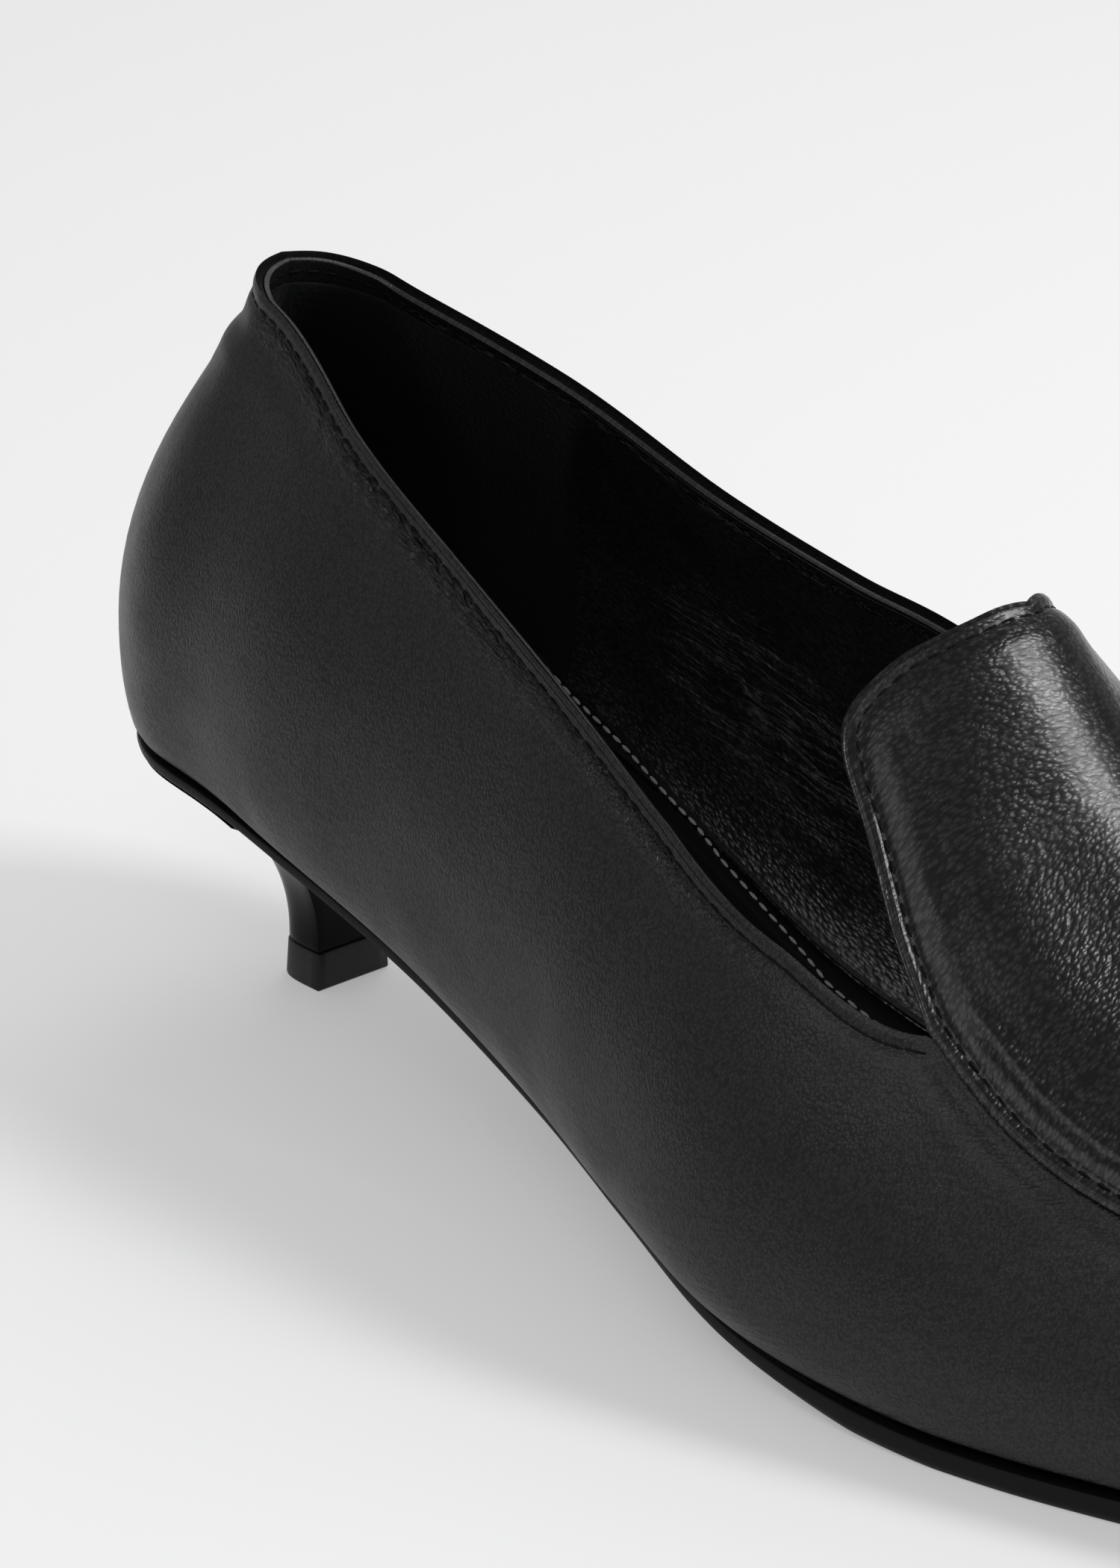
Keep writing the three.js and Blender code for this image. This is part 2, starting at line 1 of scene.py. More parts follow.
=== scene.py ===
# %% [markdown]
# # A kitten heel loafer, dressed piece by piece
# The solids that come with the frame carry the shoe: a hollow upper, an apron with a free tongue,
# an insole, an outsole, a heel and its top piece. They are right in size and plain in looks. Each
# cell below makes one piece as a shoemaker would see it, and says why it is made in that way.
# All lengths in the script are real ones. `MM` turns millimetres into Blender's metres.

# %% Load the frame
import math

import bmesh
import bpy
import numpy as np
from mathutils import Matrix, Vector


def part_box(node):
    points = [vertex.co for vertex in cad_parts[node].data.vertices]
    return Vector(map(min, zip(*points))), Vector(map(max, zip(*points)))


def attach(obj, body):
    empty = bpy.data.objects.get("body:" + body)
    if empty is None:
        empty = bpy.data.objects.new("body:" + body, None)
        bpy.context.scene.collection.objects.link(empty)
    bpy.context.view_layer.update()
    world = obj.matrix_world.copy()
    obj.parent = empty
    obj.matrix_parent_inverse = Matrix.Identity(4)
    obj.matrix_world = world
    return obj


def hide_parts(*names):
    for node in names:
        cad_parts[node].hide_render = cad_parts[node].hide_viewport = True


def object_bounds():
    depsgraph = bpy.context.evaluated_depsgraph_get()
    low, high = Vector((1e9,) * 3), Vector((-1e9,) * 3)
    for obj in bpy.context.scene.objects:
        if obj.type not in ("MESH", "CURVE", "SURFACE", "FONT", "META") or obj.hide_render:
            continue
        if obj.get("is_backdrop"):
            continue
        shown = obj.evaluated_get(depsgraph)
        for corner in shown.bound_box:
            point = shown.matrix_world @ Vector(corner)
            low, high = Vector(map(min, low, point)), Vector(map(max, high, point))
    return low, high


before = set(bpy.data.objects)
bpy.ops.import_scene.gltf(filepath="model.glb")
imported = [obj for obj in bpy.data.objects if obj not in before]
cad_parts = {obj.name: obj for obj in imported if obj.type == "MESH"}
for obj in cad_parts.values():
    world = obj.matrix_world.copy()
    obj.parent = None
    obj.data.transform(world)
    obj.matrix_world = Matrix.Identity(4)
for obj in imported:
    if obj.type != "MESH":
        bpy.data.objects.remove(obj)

MM = 0.001
cad_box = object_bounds()
scene = bpy.context.scene
print("frame box in mm:", [[round(v / MM, 1) for v in corner] for corner in cad_box])

# %% [markdown]
# ## The last
# A shoe takes its form from a last, the solid foot shape that leather is pulled over. The same
# last is used here for every leather piece, at other depths below its surface. It is a set of
# upright ribs that stand round the feather line, the line where upper and sole meet. A place on
# it has three values: the side, the way along the feather line from the centre back, and how far
# up its rib it lies, from 0 at the sole to 1 at the ridge. The sizes are those of the solids.

# %% Driving sizes of the last, in millimetres
SHOE_LENGTH = 260
HALF_BALL = 76 / 2
BACK_HEIGHT = 58.5
INSTEP_HEIGHT = 79
HEEL_RISE = 34
TOE_SPRING = 9.5
FOREPART_SOLE = 2.9
GAP = 0.3
SOLE_STACK = FOREPART_SOLE + GAP
APRON_PROUD = 0.8
APRON_THICKNESS = 1.0
TONGUE_REACH = 23.4
LOWER_PART = 0.28
OUTER, INNER = -1, 1

# Columns: at, turn, foot and swell on both sides, swell_up, top_out, top_up, flank, brow_out,
# brow_drop, ridge_over, as shares of the sizes above
RIB_ROWS = np.array([
    [0.116, 0, 0.680, 0.680, 0.055, 0.055, 0.270, 0.300, 0.780, 0.50, 0.04, 0.18, 0.00],
    [0.116, 30, 0.687, 0.687, 0.055, 0.055, 0.260, 0.280, 0.780, 0.50, 0.05, 0.18, 0.00],
    [0.116, 60, 0.698, 0.698, 0.055, 0.055, 0.250, 0.260, 0.780, 0.50, 0.08, 0.18, 0.00],
    [0.116, 90, 0.710, 0.705, 0.060, 0.060, 0.240, 0.245, 0.790, 0.50, 0.08, 0.18, 0.00],
    [0.198, 90, 0.735, 0.695, 0.115, 0.115, 0.270, 0.270, 0.835, 0.47, 0.09, 0.15, 0.00],
    [0.288, 90, 0.735, 0.640, 0.130, 0.145, 0.290, 0.250, 0.900, 0.42, 0.13, 0.12, 0.00],
    [0.377, 90, 0.785, 0.580, 0.155, 0.180, 0.290, 0.220, 0.970, 0.40, 0.18, 0.05, 0.02],
    [0.447, 90, 0.905, 0.595, 0.165, 0.195, 0.270, 0.000, 0.960, 0.38, 0.29, 0.00, 0.08],
    [0.526, 90, 1.035, 0.720, 0.145, 0.180, 0.220, 0.000, 0.925, 0.38, 0.37, 0.00, 0.12],
    [0.595, 90, 1.035, 0.875, 0.095, 0.130, 0.190, 0.000, 0.735, 0.40, 0.47, 0.00, 0.12],
    [0.665, 90, 0.958, 0.953, 0.065, 0.090, 0.170, 0.000, 0.570, 0.45, 0.53, 0.00, 0.09],
    [0.744, 90, 0.787, 0.895, 0.065, 0.065, 0.155, 0.000, 0.425, 0.50, 0.47, 0.00, 0.05],
    [0.820, 90, 0.620, 0.720, 0.055, 0.055, 0.140, 0.000, 0.335, 0.50, 0.37, 0.00, 0.02],
    [0.890, 90, 0.455, 0.510, 0.045, 0.045, 0.120, 0.000, 0.272, 0.50, 0.26, 0.00, 0.00],
    [0.930, 112, 0.345, 0.365, 0.040, 0.040, 0.120, 0.000, 0.224, 0.50, 0.21, 0.005, 0.00],
    [0.942, 150, 0.342, 0.350, 0.040, 0.040, 0.110, 0.000, 0.205, 0.50, 0.21, 0.01, 0.00],
    [0.945, 180, 0.345, 0.345, 0.040, 0.040, 0.110, 0.000, 0.203, 0.50, 0.21, 0.01, 0.00],
])
# Outer and inner side: topline height as far as the throat, then the seam's share up the rib
THROAT_INDEX = 9
EDGE_ROWS = np.array([
    [1.000, 1.000], [0.998, 0.994], [0.992, 0.978], [0.982, 0.955], [0.908, 0.905],
    [0.868, 0.860], [0.854, 0.905], [0.789, 0.975], [0.741, 0.900], [0.681, 0.720],
    [0.594, 0.614], [0.612, 0.645], [0.630, 0.660], [0.645, 0.668], [0.700, 0.710],
    [0.762, 0.766], [0.780, 0.780],
])
# The topline comes to the throat as if it went on to this share of the way up the next rib
TOPLINE_AHEAD = np.array([[0.840, 0.750]])
# Underside along the shoe: x, share of the heel rise, share of the toe spring
BOTTOM_ROWS = np.array([
    [0.000, 1.000, 0], [0.040, 0.975, 0], [0.116, 0.945, 0], [0.198, 0.822, 0],
    [0.288, 0.619, 0], [0.377, 0.372, 0], [0.466, 0.195, 0], [0.555, 0.063, 0], [0.640, 0, 0],
    [0.720, 0, 0], [0.800, 0, 0.10], [0.880, 0, 0.36], [0.950, 0, 0.68], [1.000, 0, 1.00],
])
# Middle line seen from above: x, sideways
SPINE_ROWS = np.array([
    [0, 0], [0.116, 0], [0.3, 0], [0.45, 0.026], [0.6, 0.053], [0.75, 0.079], [0.9, 0.079],
    [1, 0.079],
])
# Rear outline of the tongue: share of the way up from the throat, share of its reach
TONGUE_ROWS = np.array([
    [0, 0], [0.03, 0.10], [0.06, 0.23], [0.09, 0.35], [0.12, 0.45], [0.155, 0.57], [0.19, 0.70],
    [0.22, 0.82], [0.25, 0.91], [0.29, 0.975], [0.35, 1.0], [0.42, 0.985], [0.52, 0.945],
    [0.63, 0.88], [0.75, 0.825], [0.88, 0.79], [1, 0.76],
])
print("ribs:", len(RIB_ROWS))


# %% The smooth curve through a table
def along(marks, rows, x):
    """Values of the rows at x, on the smooth curve that the solids use too."""
    x = np.asarray(x, float)
    last = len(marks) - 1
    i = np.clip(np.searchsorted(marks, x, side="left") - 1, 0, last - 1)
    span = np.diff(marks)
    slope = np.diff(rows, axis=0) / span[:, None]
    tangent = np.empty_like(rows)
    tangent[0], tangent[-1] = slope[0], slope[-1]
    before, after = span[:-1, None], span[1:, None]
    tangent[1:-1] = (after * slope[:-1] + before * slope[1:]) / (before + after)
    h = span[i][..., None]
    t = np.clip((x[..., None] - marks[i][..., None]) / h, 0, 1)
    return (
        (2 * t**3 - 3 * t**2 + 1) * rows[i] + (t**3 - 2 * t**2 + t) * h * tangent[i]
        + (3 * t**2 - 2 * t**3) * rows[i + 1] + (t**3 - t**2) * h * tangent[i + 1]
    )


def bottom_z(x):
    """Height of the underside of the upper above the floor."""
    row = along(BOTTOM_ROWS[:, 0], BOTTOM_ROWS, np.clip(x / SHOE_LENGTH, 0, 1))
    rise, spring = np.maximum(row[..., 1], 0), np.maximum(row[..., 2], 0)
    return SOLE_STACK + rise * HEEL_RISE + spring * TOE_SPRING


def spine_y(x):
    return along(SPINE_ROWS[:, 0], SPINE_ROWS, np.clip(x / SHOE_LENGTH, 0, 1))[..., 1] * HALF_BALL


rib_steps = np.abs(np.diff(RIB_ROWS[:, 0])) * SHOE_LENGTH
rib_turns = np.radians(np.abs(np.diff(RIB_ROWS[:, 1])))
rib_radii = HALF_BALL * (RIB_ROWS[1:, 2] + RIB_ROWS[1:, 3]) / 2
RIB_MARKS = np.concatenate([[0], np.cumsum(rib_steps + rib_turns * rib_radii)])
WAY_END = RIB_MARKS[-1]
WAY_THROAT = RIB_MARKS[THROAT_INDEX]
print(f"way round one side {WAY_END:.1f} mm, throat at {WAY_THROAT:.1f} mm")


# %% A point of the last
def cubic(q, p0, p1, p2, p3):
    return (1 - q)**3 * p0 + 3 * (1 - q)**2 * q * p1 + 3 * (1 - q) * q * q * p2 + q**3 * p3


def last_point(side, way, up):
    """Points of the last's surface in millimetres, before they are moved into the frame."""
    way, up = np.broadcast_arrays(np.asarray(way, float), np.asarray(up, float))
    row = along(RIB_MARKS, RIB_ROWS, way)
    at, turn = row[..., 0], np.radians(np.clip(row[..., 1], 0, 180))
    foot = row[..., 2 if side < 0 else 3] * HALF_BALL
    wide = foot + row[..., 4 if side < 0 else 5] * HALF_BALL
    wide_up = row[..., 6] * BACK_HEIGHT
    top_out = np.maximum(row[..., 7], 0) * HALF_BALL
    top_up = row[..., 8] * INSTEP_HEIGHT
    flank_up = wide_up + row[..., 9] * (top_up - wide_up)
    brow_out = top_out + row[..., 10] * HALF_BALL
    brow_up = top_up - np.maximum(row[..., 11], 0) * INSTEP_HEIGHT
    low = np.clip(up / LOWER_PART, 0, 1)
    high = np.clip((up - LOWER_PART) / (1 - LOWER_PART), 0, 1)
    lower = up < LOWER_PART
    hip = foot + 0.55 * (wide - foot)
    out = np.where(
        lower, cubic(low, foot, hip, wide, wide), cubic(high, wide, wide, brow_out, top_out),
    )
    z = np.where(
        lower, cubic(low, 0, 0.18 * wide_up, 0.5 * wide_up, wide_up),
        cubic(high, wide_up, flank_up, brow_up, top_up),
    )
    spine_x = at * SHOE_LENGTH
    x = spine_x - np.cos(turn) * out
    over = row[..., 12] * HALF_BALL * high * high
    y = spine_y(spine_x) + side * np.sin(turn) * out + over
    foot_x = spine_x - np.cos(turn) * foot
    return np.stack([x, y, bottom_z(foot_x + (spine_x - foot_x) * high) + z], axis=-1)


def up_at_height(side, way, height):
    """How far up its rib a point lies that has this height above the feather line."""
    way = np.asarray(way, float)
    foot_z = last_point(side, way, 0)[..., 2]
    low, high = np.zeros_like(way), np.ones_like(way)
    for _ in range(30):
        middle = (low + high) / 2
        below = last_point(side, way, middle)[..., 2] - foot_z < height
        low, high = np.where(below, middle, low), np.where(below, high, middle)
    return (low + high) / 2


edge_shares = np.stack([
    up_at_height(side, RIB_MARKS, rows * BACK_HEIGHT) for side, rows in zip((OUTER, INNER), EDGE_ROWS.T)
], axis=1)
EDGE_UPS = np.where(np.arange(len(EDGE_ROWS))[:, None] > THROAT_INDEX, EDGE_ROWS, edge_shares)
TOPLINE_UPS = np.concatenate([EDGE_UPS[:THROAT_INDEX + 1], TOPLINE_AHEAD])


def edge_up(side, way):
    """How far up its rib the edge of the wrap lies: the topline, then the apron's seam."""
    way = np.asarray(way, float)
    topline = along(RIB_MARKS[:THROAT_INDEX + 2], TOPLINE_UPS, way)
    seam = along(RIB_MARKS[THROAT_INDEX:], EDGE_UPS[THROAT_INDEX:], way)
    return np.where(way[..., None] < WAY_THROAT, topline, seam)[..., 0 if side < 0 else 1]


def rib_speed(side, way, up):
    """Millimetres over the surface for a whole step of up."""
    nearby = 0.01
    step = last_point(side, way, up) - last_point(side, way, np.asarray(up) + nearby)
    return np.linalg.norm(step, axis=-1) / nearby


# %% [markdown]
# The last is drawn from the back of the shoe, and the frame's origin is the middle of the shoe's
# box. The top piece of the heel is the one solid with a known place on both: its box in the
# frame gives the shift from one to the other.

# %% From the last to the frame
STEM_BACK_AT = 23.4
STEM_LENGTH = 8.4
STEM_WIDTH = 11.6
TIP_FLARE = 0.25
TIP_HEIGHT = 5.2
tip_low, tip_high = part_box("top_piece")
tip_middle = (tip_low.y + tip_high.y) / 2
SHIFT = np.array([tip_low.x / MM - (STEM_BACK_AT - TIP_FLARE), tip_middle / MM, 0])
print("shift in mm:", SHIFT.round(2))


def to_frame(points):
    return (points + SHIFT) * MM


# %% [markdown]
# ## Helpers for materials
# Leather, thread, rubber and lacquer are all dielectrics, so a Principled shader serves them all,
# with its plain numbers on its own sockets. One function turns hex colours to linear light, and
# one adds a node with its settings and links.

# %% Colour and node helpers
def linear(hex_colour, times=1):
    """A #rrggbb colour as linear light with alpha, made lighter by a factor."""
    parts = [int(hex_colour[i:i + 2], 16) / 255 for i in (1, 3, 5)]
    return [times * (c / 12.92 if c <= 0.04045 else ((c + 0.055) / 1.055)**2.4) for c in parts] + [1]


def add_node(tree, kind, inputs=(), output=0, **settings):
    """Adds a node, sets its properties, sets or links its inputs, and gives back one output."""
    node = tree.nodes.new(kind)
    for name, value in settings.items():
        setattr(node, name, value)
    for name, value in dict(inputs).items():
        if isinstance(value, bpy.types.NodeSocket):
            tree.links.new(value, node.inputs[name])
        else:
            node.inputs[name].default_value = value
    return node.outputs[output]


def new_material(name, colour, roughness, **sockets):
    """A material with a Principled shader whose plain numbers sit on its own sockets."""
    material = bpy.data.materials.new(name)
    material.use_nodes = True
    shader = material.node_tree.nodes["Principled BSDF"]
    shader.inputs["Base Color"].default_value = linear(colour)
    shader.inputs["Roughness"].default_value = roughness
    shader.inputs["IOR"].default_value = 1.5
    for socket, value in sockets.items():
        shader.inputs[socket.replace("_", " ")].default_value = value
    return material, material.node_tree, shader


def feed(shader, **outputs):
    """Links outputs of other nodes to the shader's sockets."""
    for socket, output in outputs.items():
        shader.id_data.links.new(output, shader.inputs[socket.replace("_", " ")])


# %% [markdown]
# ## Calf leather of the wrap
# Box calf: full grain, aniline dyed, plated smooth. The eye sees an even, soft black with a
# satin sheen that brightens at grazing angles, and a fine grain of pores and creases about a third
# of a millimetre apart. The pattern follows the piece's own UV maps, which hold real lengths, so
# that it runs along the leather and not through it.

# %% Patterns on leather
def patch(tree, coordinates, centre, size):
    """Soft mask that is 1 at a centre and 0 at a size from it, both in mm of the UV map."""
    place = add_node(
        tree, "ShaderNodeMapping",
        {"Vector": coordinates, "Location": [c * MM for c in centre] + [0],
         "Scale": [s * MM for s in size] + [1]},
        vector_type="TEXTURE",
    )
    far = add_node(tree, "ShaderNodeVectorMath", {0: place}, "Value", operation="LENGTH")
    return add_node(tree, "ShaderNodeMapRange", {"Value": far, "From Min": 1.0, "From Max": 0.3})


def wandering(tree, coordinates, pace, reach):
    """Coordinates that wander by a reach in mm, with a pace in mm."""
    noise = add_node(
        tree, "ShaderNodeTexNoise", {"Vector": coordinates, "Scale": 1 / (pace * MM), "Detail": 2.0}, "Color",
    )
    centred = add_node(tree, "ShaderNodeVectorMath", {0: noise, 1: (0.5, 0.5, 0.5)}, operation="SUBTRACT")
    moved = add_node(
        tree, "ShaderNodeVectorMath", {0: centred, "Scale": 2 * reach * MM}, operation="SCALE",
    )
    return add_node(tree, "ShaderNodeVectorMath", {0: coordinates, 1: moved}, operation="ADD")


def cells_and_creases(tree, coordinates, width, length):
    """Grain height between 0 and 1: smooth cells with finer creases on them, sizes in mm."""
    across, along_it = 1 / (width * MM), 1 / (length * MM)
    place = add_node(tree, "ShaderNodeMapping", {"Vector": coordinates, "Scale": (across, along_it, 1)})
    cells = add_node(
        tree, "ShaderNodeTexVoronoi", {"Vector": place, "Scale": 1.0, "Smoothness": 0.3}, "Distance",
        feature="SMOOTH_F1",
    )
    drawn_out = (across * 1.4, along_it * 0.8, 1)
    place = add_node(tree, "ShaderNodeMapping", {"Vector": coordinates, "Scale": drawn_out})
    creases = add_node(
        tree, "ShaderNodeTexNoise", {"Vector": place, "Scale": 1.0, "Detail": 3.0, "Roughness": 0.6}, "Fac",
    )
    pebbles = add_node(tree, "ShaderNodeMath", {0: cells, 1: -0.8, 2: 0.8}, operation="MULTIPLY_ADD")
    return add_node(tree, "ShaderNodeMath", {0: creases, 1: 0.4, 2: pebbles}, operation="MULTIPLY_ADD")


def drawn_creases(tree, coordinates, angle, width, length):
    """Height of fine creases that run one way: noise drawn out along an angle in degrees."""
    place = add_node(
        tree, "ShaderNodeMapping",
        {"Vector": coordinates, "Rotation": (0, 0, -math.radians(angle)),
         "Scale": (length * MM, width * MM, 1)},
        vector_type="TEXTURE",
    )
    return add_node(
        tree, "ShaderNodeTexNoise", {"Vector": place, "Scale": 1.0, "Detail": 4.0, "Roughness": 0.65}, "Fac",
    )


def cracks(tree, coordinates, cell, pace, reach, width, strength=1.0):
    """Net of cracks, strongest in their middle: cell size along and across in mm, and its wander."""
    place = add_node(
        tree, "ShaderNodeMapping",
        {"Vector": wandering(tree, coordinates, pace, reach), "Scale": [1 / (c * MM) for c in cell] + [1]},
    )
    apart = add_node(
        tree, "ShaderNodeTexVoronoi", {"Vector": place, "Scale": 1.0}, "Distance", feature="DISTANCE_TO_EDGE",
    )
    return add_node(
        tree, "ShaderNodeMapRange", {"Value": apart, "From Min": width, "From Max": 0.0, "To Max": strength},
    )


def kept_within(tree, pattern, *limits):
    """The pattern, faded by limits in mm: a value, where the pattern is gone, where it is whole."""
    for value, gone, whole in limits:
        pattern = add_node(
            tree, "ShaderNodeMapRange",
            {"Value": value, "From Min": gone * MM, "From Max": whole * MM, "To Max": pattern},
        )
    return pattern


def line_beside(tree, distance, at, whole, gone, strength, *limits):
    """A soft line that runs beside an edge at a distance in mm."""
    centred = add_node(tree, "ShaderNodeMath", {0: distance, 1: at * MM}, operation="SUBTRACT")
    off = add_node(tree, "ShaderNodeMath", {0: centred}, operation="ABSOLUTE")
    return kept_within(tree, strength, (off, gone, whole), *limits)


# %% Leather with a grain of cells and creases
def grained_leather(name, colour, roughness, width, length, depth, spread=0.06, coat=0.0, shine=0.3,
                    dull=0.2):
    """A leather with grain, duller in its valleys and painted darker there as shade; returns what further
    relief is added to.
    """
    material, tree, shader = new_material(
        name, colour, roughness, Coat_Weight=coat, Coat_Roughness=0.2, Specular_IOR_Level=shine,
    )
    skin = add_node(tree, "ShaderNodeUVMap", uv_map="skin")
    grain = cells_and_creases(tree, wandering(tree, skin, 5 * width, 0.6 * width), width, length)
    cloudy = add_node(
        tree, "ShaderNodeTexNoise", {"Vector": skin, "Scale": 1 / (9 * MM), "Detail": 3.0}, "Fac",
    )
    rough = add_node(
        tree, "ShaderNodeMapRange",
        {"Value": cloudy, "From Min": 0.35, "From Max": 0.65, "To Min": roughness - spread,
         "To Max": roughness + spread},
    )
    # Base colour follows the grain's height: lighter on the raised cells, darker in the valleys and creases
    # between them, which is painted shade.
    grain_shade = add_node(tree, "ShaderNodeMapRange", {"Value": grain, "From Min": 0.45, "From Max": 0.95})
    tint = add_node(
        tree, "ShaderNodeMix", {0: grain_shade, 6: linear(colour), 7: linear(colour, 1.6)}, 2, data_type="RGBA",
    )
    gloss = add_node(
        tree, "ShaderNodeMapRange",
        {"Value": grain, "From Min": 0.45, "From Max": 0.85, "To Min": shine * (1 - dull),
         "To Max": shine * (1 + dull)},
    )
    bump = add_node(tree, "ShaderNodeBump", {"Height": grain, "Distance": depth * MM})
    feed(shader, Roughness=rough, Base_Color=tint, Specular_IOR_Level=gloss, Normal=bump)
    return material, tree, shader, skin, bump, tint


# %% Calf of the wrap
BAND = 1.75  # smooth turned edge above the topline's stitches, in mm


def box_calf():
    """Fine grain all over, drawn creases at the foot and at the flex, cracked folds at the topline whose
    cracks are painted dark as shade.
    """
    material, tree, shader, skin, bump, tint = grained_leather(
        "box_calf", "#131313", 0.38, width=0.3, length=0.42, depth=0.07, spread=0.05, shine=0.31,
    )
    edge = add_node(tree, "ShaderNodeUVMap", uv_map="edge")
    side_way = add_node(tree, "ShaderNodeSeparateXYZ", {0: edge}, "X")
    way = add_node(tree, "ShaderNodeMath", {0: side_way}, operation="ABSOLUTE")
    below = add_node(tree, "ShaderNodeSeparateXYZ", {0: edge}, "Y")
    above = add_node(tree, "ShaderNodeSeparateXYZ", {0: skin}, "Y")
    foot = kept_within(tree, 0.8, (above, 20, 3))
    flex = patch(tree, edge, (-192, 11), (30, 13))
    creased = add_node(tree, "ShaderNodeMath", {0: foot, 1: flex}, operation="MAXIMUM")
    creased = add_node(tree, "ShaderNodeMath", {0: creased, 1: 0.8, 2: 0.2}, operation="MULTIPLY_ADD")
    drawn = drawn_creases(tree, wandering(tree, skin, 8, 1.5), 24, 0.9, 4.5)
    drawn = add_node(tree, "ShaderNodeMath", {0: drawn, 1: creased}, operation="MULTIPLY")
    bump = add_node(tree, "ShaderNodeBump", {"Height": drawn, "Distance": 0.35 * MM, "Normal": bump})

    under = ((below, BAND - 0.1, BAND + 0.25), (below, BAND + 3.4, BAND + 1.6))
    net = cracks(tree, edge, (2.2, 0.6), 1.8, 0.45, 0.23)
    flecks = cracks(tree, edge, (0.75, 0.6), 0.9, 0.3, 0.3, strength=0.6)
    crack_shade = kept_within(tree, net, *under, (way, 30, 52), (way, 122, 98))
    for other in (
        kept_within(tree, flecks, *under, (way, 84, 108), (way, 158, 128)),
        line_beside(tree, below, 0.62, 0.05, 0.22, 0.55, (way, 56, 72), (way, 150, 140)),
    ):
        crack_shade = add_node(tree, "ShaderNodeMath", {0: crack_shade, 1: other}, operation="MAXIMUM")
    bump = add_node(
        tree, "ShaderNodeBump", {"Height": crack_shade, "Distance": 0.4 * MM, "Normal": bump}, invert=True,
    )
    # Cracks, flecks and the fine line 0.6 mm under the edge are also painted towards near black: painted
    # shade in their grooves.
    tint = add_node(tree, "ShaderNodeMix", {0: crack_shade, 6: tint, 7: linear("#040404")}, 2, data_type="RGBA")
    feed(shader, Normal=bump, Base_Color=tint)
    return material


calf = box_calf()
print("wrap leather:", calf.name, len(calf.node_tree.nodes), "nodes")

# %% [markdown]
# The apron is nappa, drum dyed and milled until its grain stands up in small pebbles that lie in
# rows up the flank. It has more gloss than the wrap. The lining is a thinner hide with a
# similar grain, and the sock is a smooth dull one.

# %% The other leathers
def pebbled_nappa():
    """Small drawn-out pebbles with narrow valleys between them, and a fold just inside the edge, painted
    darker as shade.
    """
    material, tree, shader, skin, bump, tint = grained_leather(
        "pebbled_nappa", "#080808", 0.27, width=0.38, length=0.85, depth=0.085, spread=0.03, coat=0.14,
        shine=0.27, dull=0.4,
    )
    edge = add_node(tree, "ShaderNodeUVMap", uv_map="edge")
    inside = add_node(tree, "ShaderNodeSeparateXYZ", {0: edge}, "Y")
    fold_shade = line_beside(tree, inside, 0.66, 0.04, 0.2, 1.0)
    bump = add_node(
        tree, "ShaderNodeBump", {"Height": fold_shade, "Distance": 0.14 * MM, "Normal": bump}, invert=True,
    )
    # The fold is also painted towards near black: painted shade in its groove.
    tint = add_node(tree, "ShaderNodeMix", {0: fold_shade, 6: tint, 7: linear("#030303")}, 2, data_type="RGBA")
    feed(shader, Normal=bump, Base_Color=tint)
    return material


def creased_lining():
    """Grain in rows, and long fine creases where the foot's arch has rubbed the inner side."""
    material, tree, shader, skin, bump, tint = grained_leather(
        "lining_hide", "#121212", 0.4, width=0.85, length=0.5, depth=0.14, shine=0.8, dull=0.5,
    )
    drawn = drawn_creases(tree, wandering(tree, skin, 7, 1.0), -13, 0.8, 11)
    where = patch(tree, skin, (88, 24), (26, 16))
    sharp = add_node(
        tree, "ShaderNodeMapRange", {"Value": drawn, "From Min": 0.50, "From Max": 0.66, "To Max": where},
    )
    bump = add_node(tree, "ShaderNodeBump", {"Height": sharp, "Distance": 0.24 * MM, "Normal": bump})
    feed(shader, Normal=bump)
    return material


nappa = pebbled_nappa()
lining_hide = creased_lining()
sock_hide = grained_leather("sock_hide", "#050505", 0.5, width=0.5, length=0.5, depth=0.03)[0]
print("leathers:", [m.name for m in (calf, nappa, lining_hide, sock_hide)])

# %% [markdown]
# ## Suede, thread, lacquer, rubber and edge paint
# The heel grip is suede, a nap of short fibres that takes light softly at grazing angles, which
# is what the sheen socket is for. The heel is injection moulded and lacquered: a smooth, hard
# gloss. The top piece is dense rubber. The sole's edge is ground and painted, a satin dark grey.

# %% The other finishes
def napped(name, colour):
    """Suede: short fibres, brushed lighter in places."""
    material, tree, shader = new_material(
        name, colour, 0.95, Sheen_Weight=0.06, Sheen_Roughness=0.35, Specular_IOR_Level=0.2,
    )
    place = add_node(tree, "ShaderNodeTexCoord", output="Object")
    fibres = add_node(tree, "ShaderNodeTexNoise", {"Vector": place, "Scale": 1500.0, "Detail": 3.0}, "Fac")
    brushed = add_node(tree, "ShaderNodeTexNoise", {"Vector": place, "Scale": 120.0, "Detail": 2.0}, "Fac")
    brushed = add_node(tree, "ShaderNodeMapRange", {"Value": brushed, "From Min": 0.35, "From Max": 0.7})
    tint = add_node(
        tree, "ShaderNodeMix", {0: brushed, 6: linear(colour), 7: linear(colour, 2.2)}, 2, data_type="RGBA",
    )
    bump = add_node(tree, "ShaderNodeBump", {"Height": fibres, "Distance": 0.25 * MM})
    feed(shader, Normal=bump, Base_Color=tint)
    return material


def twisted(name, colour, roughness, shine):
    """Sewing thread: plies that wind round it show as slanting bands across each stitch."""
    material, tree, shader = new_material(name, colour, roughness, Specular_IOR_Level=shine)
    place = add_node(tree, "ShaderNodeTexCoord", output="Object")
    plies = add_node(
        tree, "ShaderNodeTexWave", {"Vector": place, "Scale": 700.0, "Distortion": 1.0}, "Fac",
        bands_direction="DIAGONAL",
    )
    feed(shader, Normal=add_node(tree, "ShaderNodeBump", {"Height": plies, "Distance": 0.05 * MM}))
    return material


